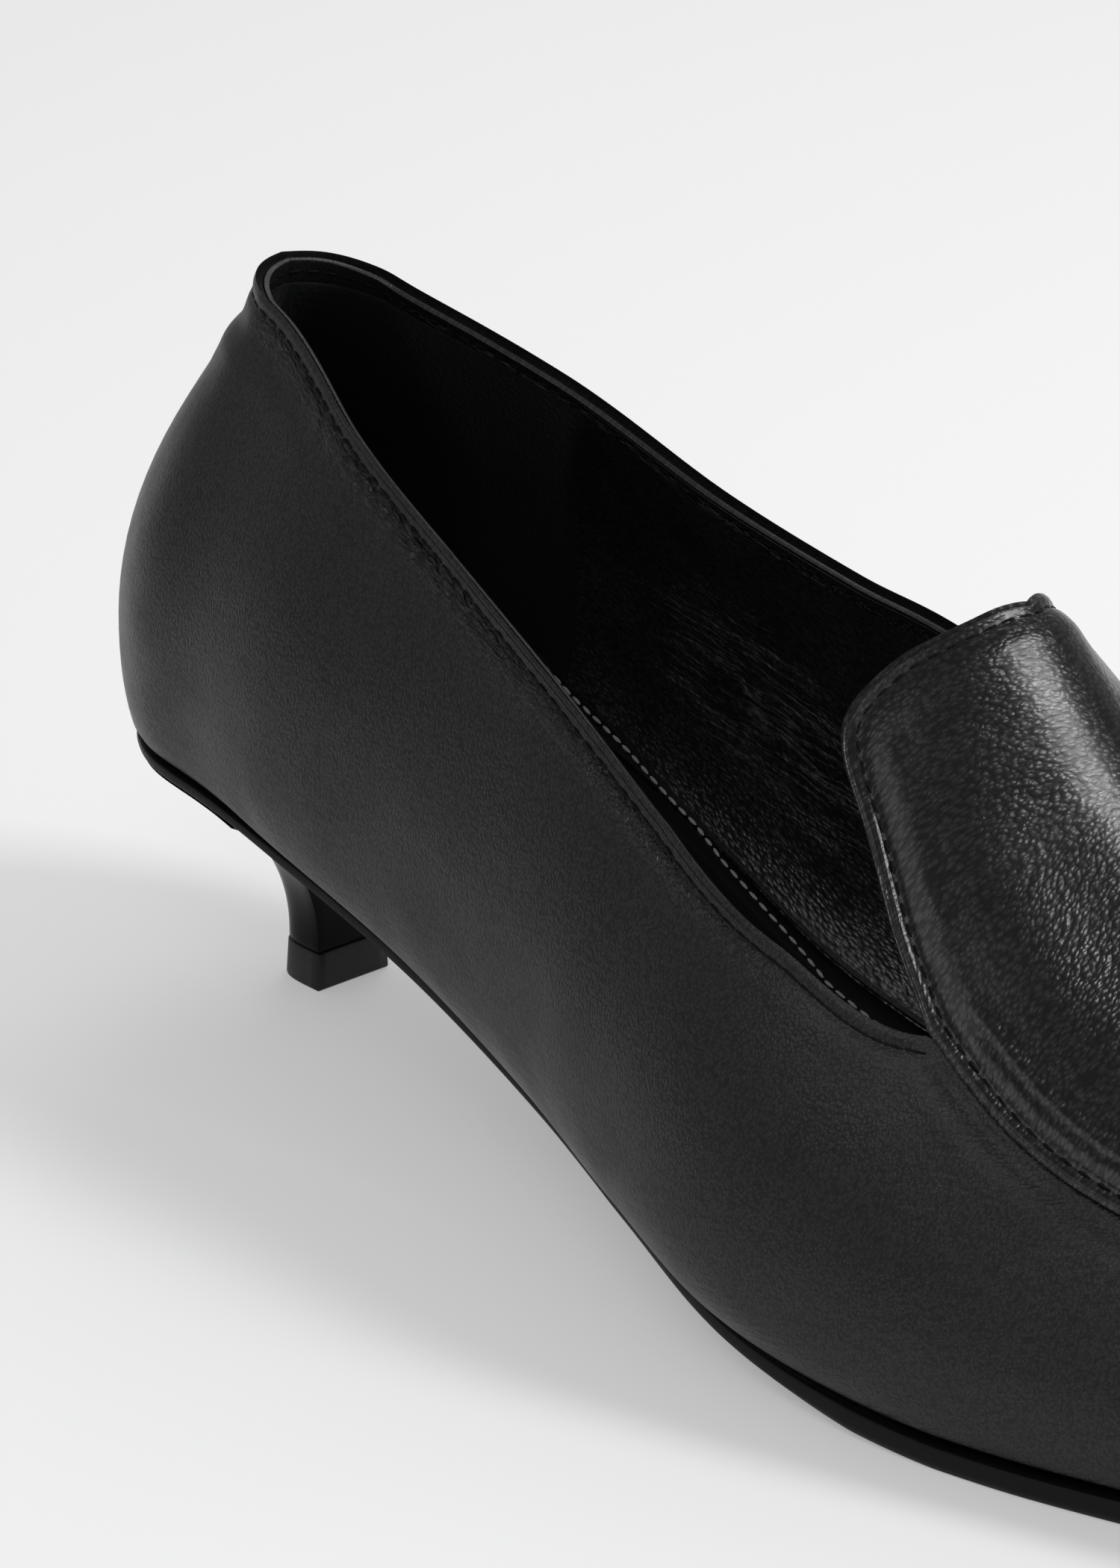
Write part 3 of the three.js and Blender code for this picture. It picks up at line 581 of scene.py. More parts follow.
def moulded(name, colour, roughness, wave, depth, spread=0.0, shine=0.3):
    """Hard material with a slight unevenness of the given width and depth in mm."""
    material, tree, shader = new_material(name, colour, roughness, Specular_IOR_Level=shine)
    place = add_node(tree, "ShaderNodeTexCoord", output="Object")
    uneven = add_node(
        tree, "ShaderNodeTexNoise", {"Vector": place, "Scale": 1 / (wave * MM), "Detail": 3.0}, "Fac",
    )
    rough = add_node(
        tree, "ShaderNodeMapRange",
        {"Value": uneven, "To Min": roughness - spread, "To Max": roughness + spread},
    )
    bump = add_node(tree, "ShaderNodeBump", {"Height": uneven, "Distance": depth * MM})
    feed(shader, Normal=bump, Roughness=rough)
    return material


suede = napped("grip_suede", "#050606")
black_thread = twisted("black_thread", "#060606", 0.6, 0.12)
grey_thread = twisted("grey_thread", "#9c9c9a", 0.7, 0.3)
# Near-black material of the needle holes: painted shade inside the holes.
hole_shade = moulded("needle_hole_shade", "#020202", 0.9, 0.5, 0.01)
lacquer = moulded("heel_lacquer", "#050505", 0.2, 6.0, 0.03, spread=0.04, shine=0.06)
rubber = moulded("top_piece_rubber", "#0e0e0e", 0.5, 0.6, 0.03, spread=0.1, shine=0.35)
edge_paint = moulded("edge_paint", "#0e0e0f", 0.5, 0.8, 0.05, spread=0.1, shine=0.15)
print("materials:", len(bpy.data.materials))

# %% [markdown]
# ## Sheets of leather
# A cut piece of leather is a sheet with a thickness. Here a sheet starts as grids of points on
# the last, joined where they share an edge. Every point keeps its own normal, moves along it for
# depth and for creases, and Blender's Solidify then gives the wall and Bevel rounds the cut edge.
# The UV map holds the way and the height in metres of leather.

# %% From grids to a sheet
def unit_length(vectors):
    return vectors / np.maximum(np.linalg.norm(vectors, axis=-1, keepdims=True), 1e-9)


def grid_normals(side, points):
    """Outward normals of a grid, with the way as its first direction and the height as second."""
    run = np.gradient(points, axis=0)
    rise = np.gradient(points, axis=1)
    normal = np.cross(run, rise) * -side
    for end in (0, -1):
        normal[end, :, 1] = 0
    return unit_length(normal)


def add_object(name, data):
    thing = bpy.data.objects.new(name, data)
    scene.collection.objects.link(thing)
    return thing


def merge_points(mesh, near, shortest):
    """Joins points nearer than a distance in mm and drops faces left without area."""
    work = bmesh.new()
    work.from_mesh(mesh)
    bmesh.ops.remove_doubles(work, verts=work.verts, dist=near * MM)
    bmesh.ops.dissolve_degenerate(work, edges=work.edges, dist=shortest * MM)
    work.to_mesh(mesh)
    work.free()


def sheet_object(name, grids):
    """One mesh of grids (side, points, way, height, below, normal), with doubles merged."""
    verts, faces, skins, edges = [], [], [], []
    first = 0
    for side, points, way, height, below, _ in grids:
        rows, columns = points.shape[:2]
        verts.append(to_frame(points).reshape(-1, 3))
        skins.append(np.stack([side * way * MM, height * MM], axis=-1).reshape(-1, 2))
        edges.append(np.stack([side * way * MM, below * MM], axis=-1).reshape(-1, 2))
        index = first + np.arange(rows * columns).reshape(rows, columns)
        a, b, c, d = index[:-1, :-1], index[1:, :-1], index[1:, 1:], index[:-1, 1:]
        faces.append(np.stack([a, b, c, d] if side < 0 else [a, d, c, b], axis=-1).reshape(-1, 4))
        first += rows * columns
    verts, faces, skins, edges = (np.concatenate(part) for part in (verts, faces, skins, edges))
    mesh = bpy.data.meshes.new(name)
    mesh.from_pydata(verts.tolist(), [], faces.tolist())
    corner = np.empty(len(mesh.loops), dtype=np.int32)
    mesh.loops.foreach_get("vertex_index", corner)
    for layer_name, values in (("skin", skins), ("edge", edges)):
        layer = mesh.uv_layers.new(name=layer_name)
        layer.data.foreach_set("uv", values[corner].astype(np.float32).ravel())
    merge_points(mesh, 0.03, 0.01)
    return add_object(name, mesh)


# %% Walls, rounded edges and what a finished piece needs
def apply_modifiers(piece):
    """Turns the piece with its modifiers into a plain mesh."""
    graph = bpy.context.evaluated_depsgraph_get()
    mesh = bpy.data.meshes.new_from_object(piece.evaluated_get(graph), depsgraph=graph)
    mesh.name = piece.name
    piece.modifiers.clear()
    piece.data = mesh
    return piece


def finish_piece(piece, material, slot, *replaced):
    """Gives a piece its material, hangs it on the root body and hides the solids that it replaces."""
    piece.data.materials.clear()
    piece.data.materials.append(material)
    piece.data.polygons.foreach_set("use_smooth", [True] * len(piece.data.polygons))
    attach(piece, "root")
    if replaced:
        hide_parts(*replaced)
    piece.data.calc_loop_triangles()
    print(piece.name, "triangles:", len(piece.data.loop_triangles))
    return piece


def rounded(piece, rounding, segments=3, angle=50):
    edge = piece.modifiers.new("cut edge", "BEVEL")
    edge.width = rounding * MM
    edge.segments = segments
    edge.limit_method = "ANGLE"
    edge.angle_limit = math.radians(angle)
    edge.use_clamp_overlap = True
    return apply_modifiers(piece)


def leather_piece(name, sheet, thickness, rounding, material, slot, *replaced, segments=3):
    """A finished piece from a sheet: wall inwards, cut edges rounded, both in millimetres."""
    piece = sheet_object(name, sheet)
    wall = piece.modifiers.new("wall", "SOLIDIFY")
    wall.thickness = thickness * MM
    wall.offset = -1
    rounded(piece, rounding, segments, 55)
    return finish_piece(piece, material, slot, *replaced)


def even_steps(start, end, pitch):
    return np.linspace(start, end, max(int(round(abs(end - start) / pitch)), 2) + 1)


def bell(x, centre, width):
    """A soft hump of height 1."""
    return np.exp(-((x - centre) / width)**2)


def ease(x, low, high):
    """0 below low, 1 above high, smooth between."""
    t = np.clip((x - low) / (high - low), 0, 1)
    return t * t * (3 - 2 * t)


# %% [markdown]
# Most pieces of the upper are cut to a distance from the topline or from the feather line, so
# each rib gets a table of its own lengths. A piece then asks for heights in millimetres over
# the leather, and for a depth under the last's surface.

# %% Pieces of the upper by real lengths
def lengths(points, axis=0):
    """Length along rows of points, from 0 at the first one."""
    steps = np.linalg.norm(np.diff(points, axis=axis), axis=-1)
    return np.concatenate([0 * np.take(steps, [0], axis=axis), np.cumsum(steps, axis=axis)], axis=axis)


LAP_SINK = 0.75  # the wrap sinks this much where it runs on under the apron


def rib_table(side, ways, samples=240):
    """Heights over the leather for even steps up each rib, and the height of the edge."""
    up = np.linspace(0, 1, samples)
    points = last_point(side, ways[:, None], up[None, :])
    height = lengths(points, axis=1)
    edge = np.array([np.interp(e, up, h) for e, h in zip(edge_up(side, ways), height)])
    return up, height, edge


def lap_share(below, way):
    """1 under the apron, 0 in front of its seam and behind the throat."""
    return ease(-below, 0.2, 2.2) * ease(way, WAY_THROAT, WAY_THROAT + 6)


def upper_grids(ways, heights, depth, relief):
    """Grids at heights(edge) over the feather line, a depth under the last, with relief."""
    grids = []
    for side in (OUTER, INNER):
        up, table, edge = rib_table(side, ways)
        height = heights(edge, table[:, -1], ways)
        place = np.stack([np.interp(h, row, up) for h, row in zip(height, table)])
        way = np.broadcast_to(ways[:, None], height.shape)
        points = last_point(side, way, place)
        below = edge[:, None] - height
        normal = grid_normals(side, points)
        lift = relief(side, way, below, height) - depth - LAP_SINK * lap_share(below, way)
        grids.append((side, points + normal * lift[..., None], way, height, below, normal))
    return grids


# %% [markdown]
# ## The wrap
# On the real shoe one long piece of calf runs from the inner throat round the heel to the outer
# throat and on round the toe. Its top edge is turned in over the lining, which leaves a smooth
# band not quite 2 mm wide. Below that band a row of stitches pulls the leather in, and the turned
# edge puckers it, most between heel and waist. Behind, the stiffener ends 9 mm under the topline
# and shows as a soft ridge. At the feather line the leather rolls in under the foot, which draws
# the dark line over the sole. The creases are listed one by one in the shoe's own sizes.

# %% Creases of the wrap
STITCH_SINK = 0.30
# way along the topline, depth, width along it and slant of each main pucker on the outer side
PUCKERS = [
    (46, 0.10, 0.8, 0.6), (50, 0.16, 0.7, 0.9), (53.5, 0.14, 0.8, 0.5), (57, 0.24, 0.9, 0.9),
    (60.5, 0.18, 0.7, 1.1), (64, 0.30, 0.8, 0.7), (67, 0.22, 0.7, 1.0), (70.5, 0.34, 0.9, 0.8),
    (74, 0.26, 0.7, 1.1), (77, 0.36, 0.8, 0.9), (80.5, 0.24, 0.8, 0.7), (84, 0.36, 0.9, 1.0),
    (87, 0.24, 0.7, 0.9), (90.5, 0.34, 0.8, 1.1), (94, 0.26, 0.9, 0.8), (97.5, 0.30, 0.8, 0.9),
    (101, 0.20, 0.7, 1.0), (105, 0.26, 0.9, 0.8), (109, 0.18, 0.8, 0.9), (113, 0.20, 0.8, 0.7),
    (118, 0.14, 0.9, 0.8), (124, 0.14, 0.9, 0.6), (131, 0.10, 0.8, 0.6), (139, 0.08, 0.9, 0.5),
]
# way, height over the feather line, reach both ways, depth, slant of the broad soft dents
SOFT_DENTS = [
    (20, 30, 16, 14, 0.25, 0.2), (70, 24, 26, 9, 0.30, -0.1), (118, 17, 24, 7, 0.35, 0.1),
    (188, 19, 16, 5, 0.30, 0.15), (206, 11, 18, 4, -0.22, 0.1), (176, 27, 9, 4, 0.28, 0.3),
]


def topline_relief(way, below):
    """Turned edge, stitch line and the fullness under it, behind the throat."""
    rear = 1 - ease(way, WAY_THROAT - 3, WAY_THROAT + 2)
    relief = 0.12 * bell(below, BAND * 0.48, BAND * 0.45) - STITCH_SINK * bell(below, BAND, 0.62)
    return rear * (relief + 0.10 * bell(below, BAND + 2.4, 1.6))


def wrap_relief(side, way, below, above):
    """Height of the wrap over the last."""
    relief = topline_relief(way, below)
    rear = 1 - ease(way, WAY_THROAT - 4, WAY_THROAT + 1)
    fade = bell(below, BAND + 1.6, 1.7) * rear
    for at, depth, width, slant in PUCKERS:
        shifted = way - at - slant * (below - BAND)
        relief = relief - 0.4 * fade * depth * (bell(shifted, 0, width) - 0.6 * bell(shifted, 1.5, width))
    stiffener = 0.45 * bell(below, 8.6, 2.2) - 0.30 * bell(below, 5.2, 2.0)
    relief = relief + stiffener * (1 - ease(way, 26, 70))
    seam_side = ease(way, WAY_THROAT - 2, WAY_THROAT + 4)
    relief = relief - 0.30 * seam_side * bell(below, 1.2, 1.3) + 0.16 * seam_side * bell(below, 4.5, 2.0)
    for at, height, reach, rise, depth, slant in SOFT_DENTS:
        relief = relief - depth * bell(way, at, reach) * bell(above - slant * (way - at), height, rise)
    roll = np.clip(1 - above / 2.0, 0, 1)
    return relief - 1.1 * roll**2


# %% The wrap's sheet
WRAP_LEATHER = 1.1
UNDERLAP = 7.0  # how far the wrap runs on under the apron
CLOSE_ROWS, CLOSE_REACH = 28, 10.0
LOW_ROWS, LOW_POWER = 24, 1.3
LAP_ROWS = 7


def wrap_heights(edge, full, ways):
    """Heights of the wrap's rows: open below, close near the edge, and the lap under the apron."""
    close = np.minimum(CLOSE_REACH, edge * 0.5)[:, None]
    low = np.linspace(0, 1, LOW_ROWS)[None, :]**LOW_POWER * (edge[:, None] - close)
    near = edge[:, None] - close * (1 - np.linspace(0, 1, CLOSE_ROWS + 1)[None, 1:])
    lap = ease(ways, WAY_THROAT - 0.5, WAY_THROAT + 8) * np.minimum(UNDERLAP, (full - edge) * 0.6)
    under = edge[:, None] + lap[:, None] * np.linspace(0, 1, LAP_ROWS + 1)[None, 1:]
    return np.concatenate([low, near, under], axis=1)


WRAP_WAYS = np.concatenate([
    even_steps(0, 30, 0.8), even_steps(30, WAY_THROAT, 0.6)[1:], even_steps(WAY_THROAT, WAY_END, 1.05)[1:],
])
wrap_sheet = upper_grids(WRAP_WAYS, wrap_heights, 0, wrap_relief)
leather_piece("calf_wrap", wrap_sheet, WRAP_LEATHER, 0.42, calf, "upper_leather", "upper")

# %% [markdown]
# ## Lining, facing and heel grip
# Inside, a hide lining covers the wall from the insole to the edge. A narrow facing of calf
# covers its top, and its rounded edge next to the wrap's makes the double bead of the collar.
# Round the heel a suede grip keeps the foot from slipping, and its front end is a clear step.

# %% Creases of the lining, listed one by one: way, height, half length, depth, slope
LINING_CREASES = [
    (84, 23, 18, 0.30, 0.25), (90, 30, 14, 0.30, 0.28), (76, 14.6, 11, 0.22, 0.0),
    (90, 19, 13, 0.25, 0.04), (99, 12, 9, 0.20, -0.03), (120, 22, 15, 0.30, 0.16),
]


def lining_relief(side, way, below, above):
    relief = 0 * way
    for at, height, reach, depth, slope in LINING_CREASES:
        off = above - height - slope * (way - at)
        relief = relief - depth * bell(way, at, reach) * (bell(off, 0, 1.2) - 0.6 * bell(off, 2.4, 1.3))
    return relief


def no_relief(_, way, *rest):
    return 0 * way


def between(low, high, rows):
    """Heights from one to the other, each worked out from the height of the edge."""
    def heights(edge, full, ways):
        bottom, top = low(edge, full, ways)[:, None], high(edge, full, ways)[:, None]
        return bottom + (top - bottom) * np.linspace(0, 1, rows)[None, :]
    return heights


# %% Lining, facing and grip
FACING_DEEP, FACING_THICK, FACING_WIDTH = 1.16, 0.75, 3.4
LINING_DEEP, LINING_THICK = 1.15, 0.75
GRIP_THICK = 0.5


def lining_top(edge, full, ways):
    lap = ease(ways, WAY_THROAT - 0.5, WAY_THROAT + 8)
    return edge - 2.6 * (1 - lap) + np.minimum(10, (full - edge) * 0.85) * lap


lining_sheet = upper_grids(
    even_steps(0, WAY_END, 1.1), between(lambda e, f, w: 0.6 + 0 * e, lining_top, 50), LINING_DEEP,
    lining_relief,
)
leather_piece("quarter_lining", lining_sheet, LINING_THICK, 0.25, lining_hide, "lining_leather", segments=2)

facing_sheet = upper_grids(
    even_steps(0, WAY_THROAT + 1, 0.9),
    between(lambda e, f, w: e - FACING_WIDTH, lambda e, f, w: e - 0.25, 9), FACING_DEEP, no_relief,
)
leather_piece("collar_facing", facing_sheet, FACING_THICK, 0.33, calf, "lining_leather")

# How far up its ribs, and the way at which the front end of the grip stands there
GRIP_FRONT = np.array([
    [0.30, 54.6], [0.43, 55.6], [0.56, 58.6], [0.64, 61.2], [0.73, 64.2], [0.80, 67.0],
])
RIB_LENGTH = 60  # of a rib at the heel, for the places on the suede


def grip_grids():
    """Grids round the heel whose front end leans forward as it rises."""
    grids = []
    share = np.linspace(0.06, 1, 40)[None, :]
    for side in (OUTER, INNER):
        part = np.linspace(0, 1, 66)[:, None]
        way = part * np.interp(share * 0.8, *GRIP_FRONT.T)
        edge = edge_up(side, way)
        up = share * (edge - (FACING_WIDTH - 0.2) / rib_speed(side, way, edge))
        points = last_point(side, way, up)
        normal = grid_normals(side, points)
        lifted = points - normal * (LINING_DEEP + LINING_THICK - 0.05)
        grids.append((side, lifted, way, RIB_LENGTH * up, RIB_LENGTH * (edge - up), normal))
    return grids


leather_piece("suede_heel_grip", grip_grids(), GRIP_THICK, 0.22, suede, "heel_grip_suede", segments=2)

# %% Border of the sock: turned up the wall from heel to waist, which keeps the foot's edge soft
# way, and how far up the wall its top edge stands there
BORDER_ROWS = np.array([
    [0, 8.6], [40, 7.8], [52, 6.1], [56, 4.9], [60, 4.2], [68, 3.2], [76, 2.1], [84, 1.7], [110, 1.6],
    [150, 1.6],
])
BORDER_DEEP, BORDER_THICK, BORDER_STITCH = 1.85, 0.75, 0.95


def border_top(edge, full, ways):
    return along(BORDER_ROWS[:, 0], BORDER_ROWS, ways)[..., 1]


border_sheet = upper_grids(
    even_steps(0, BORDER_ROWS[-1, 0], 1.0), between(lambda e, f, w: 0.8 + 0 * e, border_top, 10),
    BORDER_DEEP, no_relief,
)
leather_piece("sock_border", border_sheet, BORDER_THICK, 0.3, sock_hide, "sock_leather", segments=2)

# %% [markdown]
# ## The apron and its tongue
# The apron is softer nappa, lapped over the wrap and stitched 2 mm inside its edge. Past the
# stitches the leather first lies flat on the seam allowance, then rises in a soft bright ridge
# where the allowance under it ends. Behind the throat the same piece stands free as the tongue,
# backed by the lining. Between ridge and edge it sinks a little, as worn leather over a foot does.

# %% Relief of the apron
APRON_STITCH = 1.8


def apron_relief(inside, way, share):
    """Height of the apron over its plain surface, from the distance inside its edge."""
    front = ease(way, WAY_THROAT + 1, WAY_THROAT + 7)
    flatter = 1 - 0.6 * (1 - front) * ease(share, 0.82, 0.96)
    relief = flatter * (0.12 * bell(inside, 0.85, 0.6) - 0.36 * bell(inside, APRON_STITCH, 0.55))
    relief = relief + front * (0.50 * bell(inside, 5.2, 1.3) - 0.12 * bell(inside, 3.2, 0.8))
    relief = relief + (1 - front) * 0.20 * bell(inside, 4.6, 1.6)
    trough = bell(share, 0.60, 0.20) * ease(inside, 4, 10)
    relief = relief - trough * (0.9 * bell(way, 178, 22) + 0.5 * bell(way, 215, 18))
    relief = relief + 0.35 * bell(way, 196, 9) * bell(share, 0.42, 0.14)
    return relief


# %% The apron's sheet
def distance_to(points, line):
    """Distance of every point of a grid to the nearest point of a line."""
    flat = points.reshape(-1, 3)
    best = np.full(len(flat), 1e9)
    for start in range(0, len(line), 40):
        gap = flat[:, None] - line[None, start:start + 40]
        best = np.minimum(best, np.sqrt((gap**2).sum(-1)).min(axis=1))
    return best.reshape(points.shape[:2])


def apron_grids(seam_inset, tongue_inset, lift, relief, pitch=0.6, rows=70):
    """Grids of the apron and tongue on both sides, lifted over the last by millimetres."""
    grids = []
    share = np.linspace(0, 1, rows)**1.15
    for side in (OUTER, INNER):
        start = np.array([WAY_THROAT])
        throat = edge_up(side, start)
        throat = throat + seam_inset / rib_speed(side, start, throat)
        front = even_steps(WAY_THROAT, WAY_END, pitch)
        seam = edge_up(side, front)
        seam = np.minimum(seam + seam_inset / rib_speed(side, front, seam), 0.99)
        front_up = seam[:, None] + share[None, :] * (1 - seam[:, None])
        reach = along(TONGUE_ROWS[:, 0], TONGUE_ROWS, share)[:, 1] * TONGUE_REACH - tongue_inset
        part = np.linspace(0, 1, int(TONGUE_REACH / pitch) + 1)
        tongue_way = WAY_THROAT - np.maximum(reach, 0)[None, :] * (1 - part[:, None])
        tongue_up = throat + share[None, :] * (1 - throat) + 0 * tongue_way
        way = np.concatenate([tongue_way[:-1], np.broadcast_to(front[:, None], front_up.shape)])
        up = np.concatenate([tongue_up[:-1], front_up])
        points = last_point(side, way, up)
        inside = distance_to(points, np.concatenate([points[0], points[:, 0]]))
        normal = apron_normals(side, way, up)
        lifted = points + normal * (lift + relief(inside, way, share[None, :]))[..., None]
        grids.append((side, lifted, way, lengths(points, axis=1), inside, normal))
    return grids


def apron_normals(side, way, up):
    """Normals of the last itself, which both sides share on the ridge."""
    small_way, small_up = 0.4, 0.004
    run = last_point(side, way + small_way, up) - last_point(side, way - small_way, up)
    rise = last_point(side, way, up) - last_point(side, way, up - small_up)
    normal = unit_length(np.cross(run, rise) * -side)
    level = np.clip((1 - up) / 0.06, 0, 1)[..., None]
    return unit_length(normal * level + normal * [1, 0, 1] * (1 - level))


apron_sheet = apron_grids(0.4, 0.0, APRON_PROUD, apron_relief)
leather_piece("nappa_apron", apron_sheet, APRON_THICKNESS - 0.1, 0.36, nappa, "apron_leather", "apron")


under_sheet = apron_grids(6.8, 0.7, -0.12, no_relief, pitch=1.2, rows=40)
leather_piece("tongue_lining", under_sheet, 0.7, 0.25, lining_hide, "lining_leather", segments=2)

# %% [markdown]
# ## Sole, insole and heel
# A kitten heel stands on a slim stem that flares into the seat. Sole and insole are plates cut
# to the feather line. All of them are closed rings laid on each other, so each is made by one
# function from rings of points, and each ring is the feather line moved in or out.

# %% Rings and plates
SOLE_ROWS = np.array([
    [0, 0, 1], [0.14, 0, 1], [0.22, 0, 0], [0.42, 0, 0], [0.52, 0.45, 0], [0.60, 1, 0], [1, 1, 0],
])
FEATHER_WAYS = np.concatenate([even_steps(0, 240, 1.0), even_steps(240, WAY_END, 0.7)[1:]])


def sole_mix(x, forepart, waist, seat):
    """A size of the sole that changes from seat to waist to forepart."""
    row = along(SOLE_ROWS[:, 0], SOLE_ROWS, np.clip(x / SHOE_LENGTH, 0, 1))
    front, back = np.clip(row[..., 1], 0, 1), np.clip(row[..., 2], 0, 1)
    return waist + front * (forepart - waist) + back * (seat - waist)


def feather_ring(outwards, height, ways=FEATHER_WAYS):
    """Closed ring along the feather line: outwards and height are worked out from x."""
    halves = []
    for side in (OUTER, INNER):
        point = last_point(side, ways, 0)
        after = last_point(side, np.minimum(ways + 0.5, WAY_END), 0)
        run = after - last_point(side, np.maximum(ways - 0.5, 0), 0)
        out = unit_length(np.stack([run[:, 1], -run[:, 0], 0 * run[:, 0]], axis=-1) * -side)
        out[ways == 0] = [-1, 0, 0]
        out[ways == WAY_END] = [1, 0, 0]
        moved = point + out * outwards(point[:, 0])[:, None]
        moved[:, 2] = height(moved[:, 0])
        halves.append(moved)
    outer, inner = halves
    return np.concatenate([outer, inner[-2:0:-1]])


def plate_object(name, rings, half):
    """Closed solid from rings laid on each other, the first one lowest, with flat ends."""
    count = len(rings[0])
    verts = to_frame(np.concatenate(rings))
    faces = []
    for j in range(len(rings) - 1):
        for k in range(count):
            after = (k + 1) % count
            low, high = j * count, (j + 1) * count
            faces.append((low + k, low + after, high + after, high + k))
    for first, upwards in ((0, False), ((len(rings) - 1) * count, True)):
        for k in range(half - 1):
            other, other_after = (count - k) % count, count - k - 1
            face = [first + k, first + k + 1, first + other_after, first + other]
            face = [v for n, v in enumerate(face) if v not in face[:n]]
            faces.append(tuple(face if upwards else face[::-1]))
    mesh = bpy.data.meshes.new(name)
    mesh.from_pydata(verts.tolist(), [], faces)
    merge_points(mesh, 0.01, 0.005)
    return add_object(name, mesh)


# %% Outsole: a thin leather sole with a square edge in front and a bevelled one at the waist
def sole_ring(inset, share):
    """Ring of the sole: inset from the lip, share of the thickness above the ground side."""
    def outwards(x):
        bevel = sole_mix(x, 0.5, 3.0, 0.5) * np.clip(1 - share / 0.4, 0, 1)**1.6
        return sole_mix(x, 0.7, -0.5, 0) - bevel - inset

    def height(x):
        return bottom_z(x) - GAP - (1 - share) * sole_mix(x, FOREPART_SOLE, 2.2, 1.6)
    return feather_ring(outwards, height)


SOLE_PROFILE = [
    (1.2, 0), (0.35, 0), (0.08, 0.035), (0, 0.1), (0, 0.2), (0, 0.3), (0, 0.4), (0, 0.6), (0, 0.9),
    (0.06, 0.965), (0.25, 1.0), (1.5, 1.0),
]
half_count = len(FEATHER_WAYS)
outsole = plate_object("leather_outsole", [sole_ring(*place) for place in SOLE_PROFILE], half_count)
finish_piece(outsole, edge_paint, "outsole_leather", "outsole")

# %% Insole with its sock: soft top with a shallow groove along its rim
INSOLE_INSET = 1.7  # reaches under the lining, so that no light comes through
SOCK_GROOVE = 3.6


def sock_ring(inset, height):
    return feather_ring(lambda x: 0 * x - INSOLE_INSET - inset, lambda x: bottom_z(x) + height)


SOCK_PROFILE = [
    (0, 0), (0, 1.9), (0.12, 2.2), (0.4, 2.38), (1.2, 2.5), (2.4, 2.52), (SOCK_GROOVE - 0.5, 2.42),
    (SOCK_GROOVE, 2.25), (SOCK_GROOVE + 0.5, 2.42), (5.2, 2.6), (7.5, 2.66), (10, 2.68),
]
sock = plate_object("insole_sock_cover", [sock_ring(*place) for place in SOCK_PROFILE], half_count)
finish_piece(sock, sock_hide, "sock_leather", "insole_sock")

# %% Heel
BREAST_AT = 40
BACK_SWEEP, SIDE_SWEEP = 2.5, 2.2
HEEL_COLUMNS, HEEL_LEVELS, BREAST_COLUMNS = 44, 46, 8


def stem_point(part, grow, power):
    """Half section of the stem from its back, part 0, to its front, part 1."""
    def bulge(value):
        return np.abs(value)**(2 / power)
    turn = part * math.pi / 2
    length, half_width = STEM_LENGTH + 2 * grow, STEM_WIDTH / 2 + grow
    return STEM_BACK_AT - grow + length * (1 - bulge(np.cos(turn))), half_width * bulge(np.sin(turn))


def across_breast(ring_half):
    """Closes two halves with a flat breast: outer side, across, inner side back."""
    outer, inner = ring_half
    share = np.linspace(0, 1, BREAST_COLUMNS + 1)[1:-1, None]
    flat = outer[-1] * (1 - share) + inner[-1] * share
    half = BREAST_COLUMNS // 2
    return np.concatenate([outer, flat[:half], flat[half:], inner[:0:-1]])


def breast_way():
    near = even_steps(RIB_MARKS[3], WAY_THROAT, 0.02)
    return near[np.searchsorted(last_point(OUTER, near, 0)[:, 0], BREAST_AT)]


heel_ways = np.linspace(0, breast_way(), HEEL_COLUMNS + 1)
seat_ring = feather_ring(
    lambda x: 0 * x - 0.5, lambda x: bottom_z(x) - 2 * GAP - sole_mix(x, FOREPART_SOLE, 2.2, 1.6),
    np.append(heel_ways, WAY_END),
)
seat_outer = seat_ring[:HEEL_COLUMNS + 1]
seat_inner = np.concatenate([seat_ring[:1], seat_ring[-HEEL_COLUMNS:][::-1]])
heel_rings = []
for level in np.linspace(1, 0, HEEL_LEVELS + 1)**1.6:
    halves = []
    for side, seat in ((OUTER, seat_outer), (INNER, seat_inner)):
        part = np.linspace(0, 1, HEEL_COLUMNS + 1)
        stem_x, stem_y = stem_point(part, 0, 3.6)
        sweep = BACK_SWEEP + (SIDE_SWEEP - BACK_SWEEP) * np.sin(part * math.pi / 2)
        drawn = 1 - (1 - level)**sweep
        halves.append(np.stack([
            seat[:, 0] + (stem_x - seat[:, 0]) * drawn,
            seat[:, 1] + (side * stem_y - seat[:, 1]) * drawn,
            seat[:, 2] + (TIP_HEIGHT + GAP - seat[:, 2]) * level,
        ], axis=-1))
    heel_rings.append(across_breast(halves))
heel_half = HEEL_COLUMNS + 1 + BREAST_COLUMNS // 2
heel = rounded(plate_object("lacquered_heel", heel_rings, heel_half), 0.35, 3, 40)
finish_piece(heel, lacquer, "heel_lacquer", "heel")

# %% Top piece
# How far the top piece stands out from the stem, and the height there
TIP_PROFILE = [
    (TIP_FLARE - 0.3, 0), (TIP_FLARE - 0.05, 0.12), (TIP_FLARE, 0.4), (0.02, TIP_HEIGHT - 0.3),
    (-0.1, TIP_HEIGHT - 0.08), (-0.3, TIP_HEIGHT),
]
tip_rings = []
for grow, z in TIP_PROFILE:
    stem_x, stem_y = stem_point(np.linspace(0, 1, HEEL_COLUMNS + 1), grow, 3.9)
    halves = [np.stack([stem_x, side * stem_y, 0 * stem_x + z], axis=-1) for side in (OUTER, INNER)]
    tip_rings.append(across_breast(halves))
tip = plate_object("rubber_top_piece", tip_rings, heel_half)
finish_piece(tip, rubber, "top_piece_rubber", "top_piece")

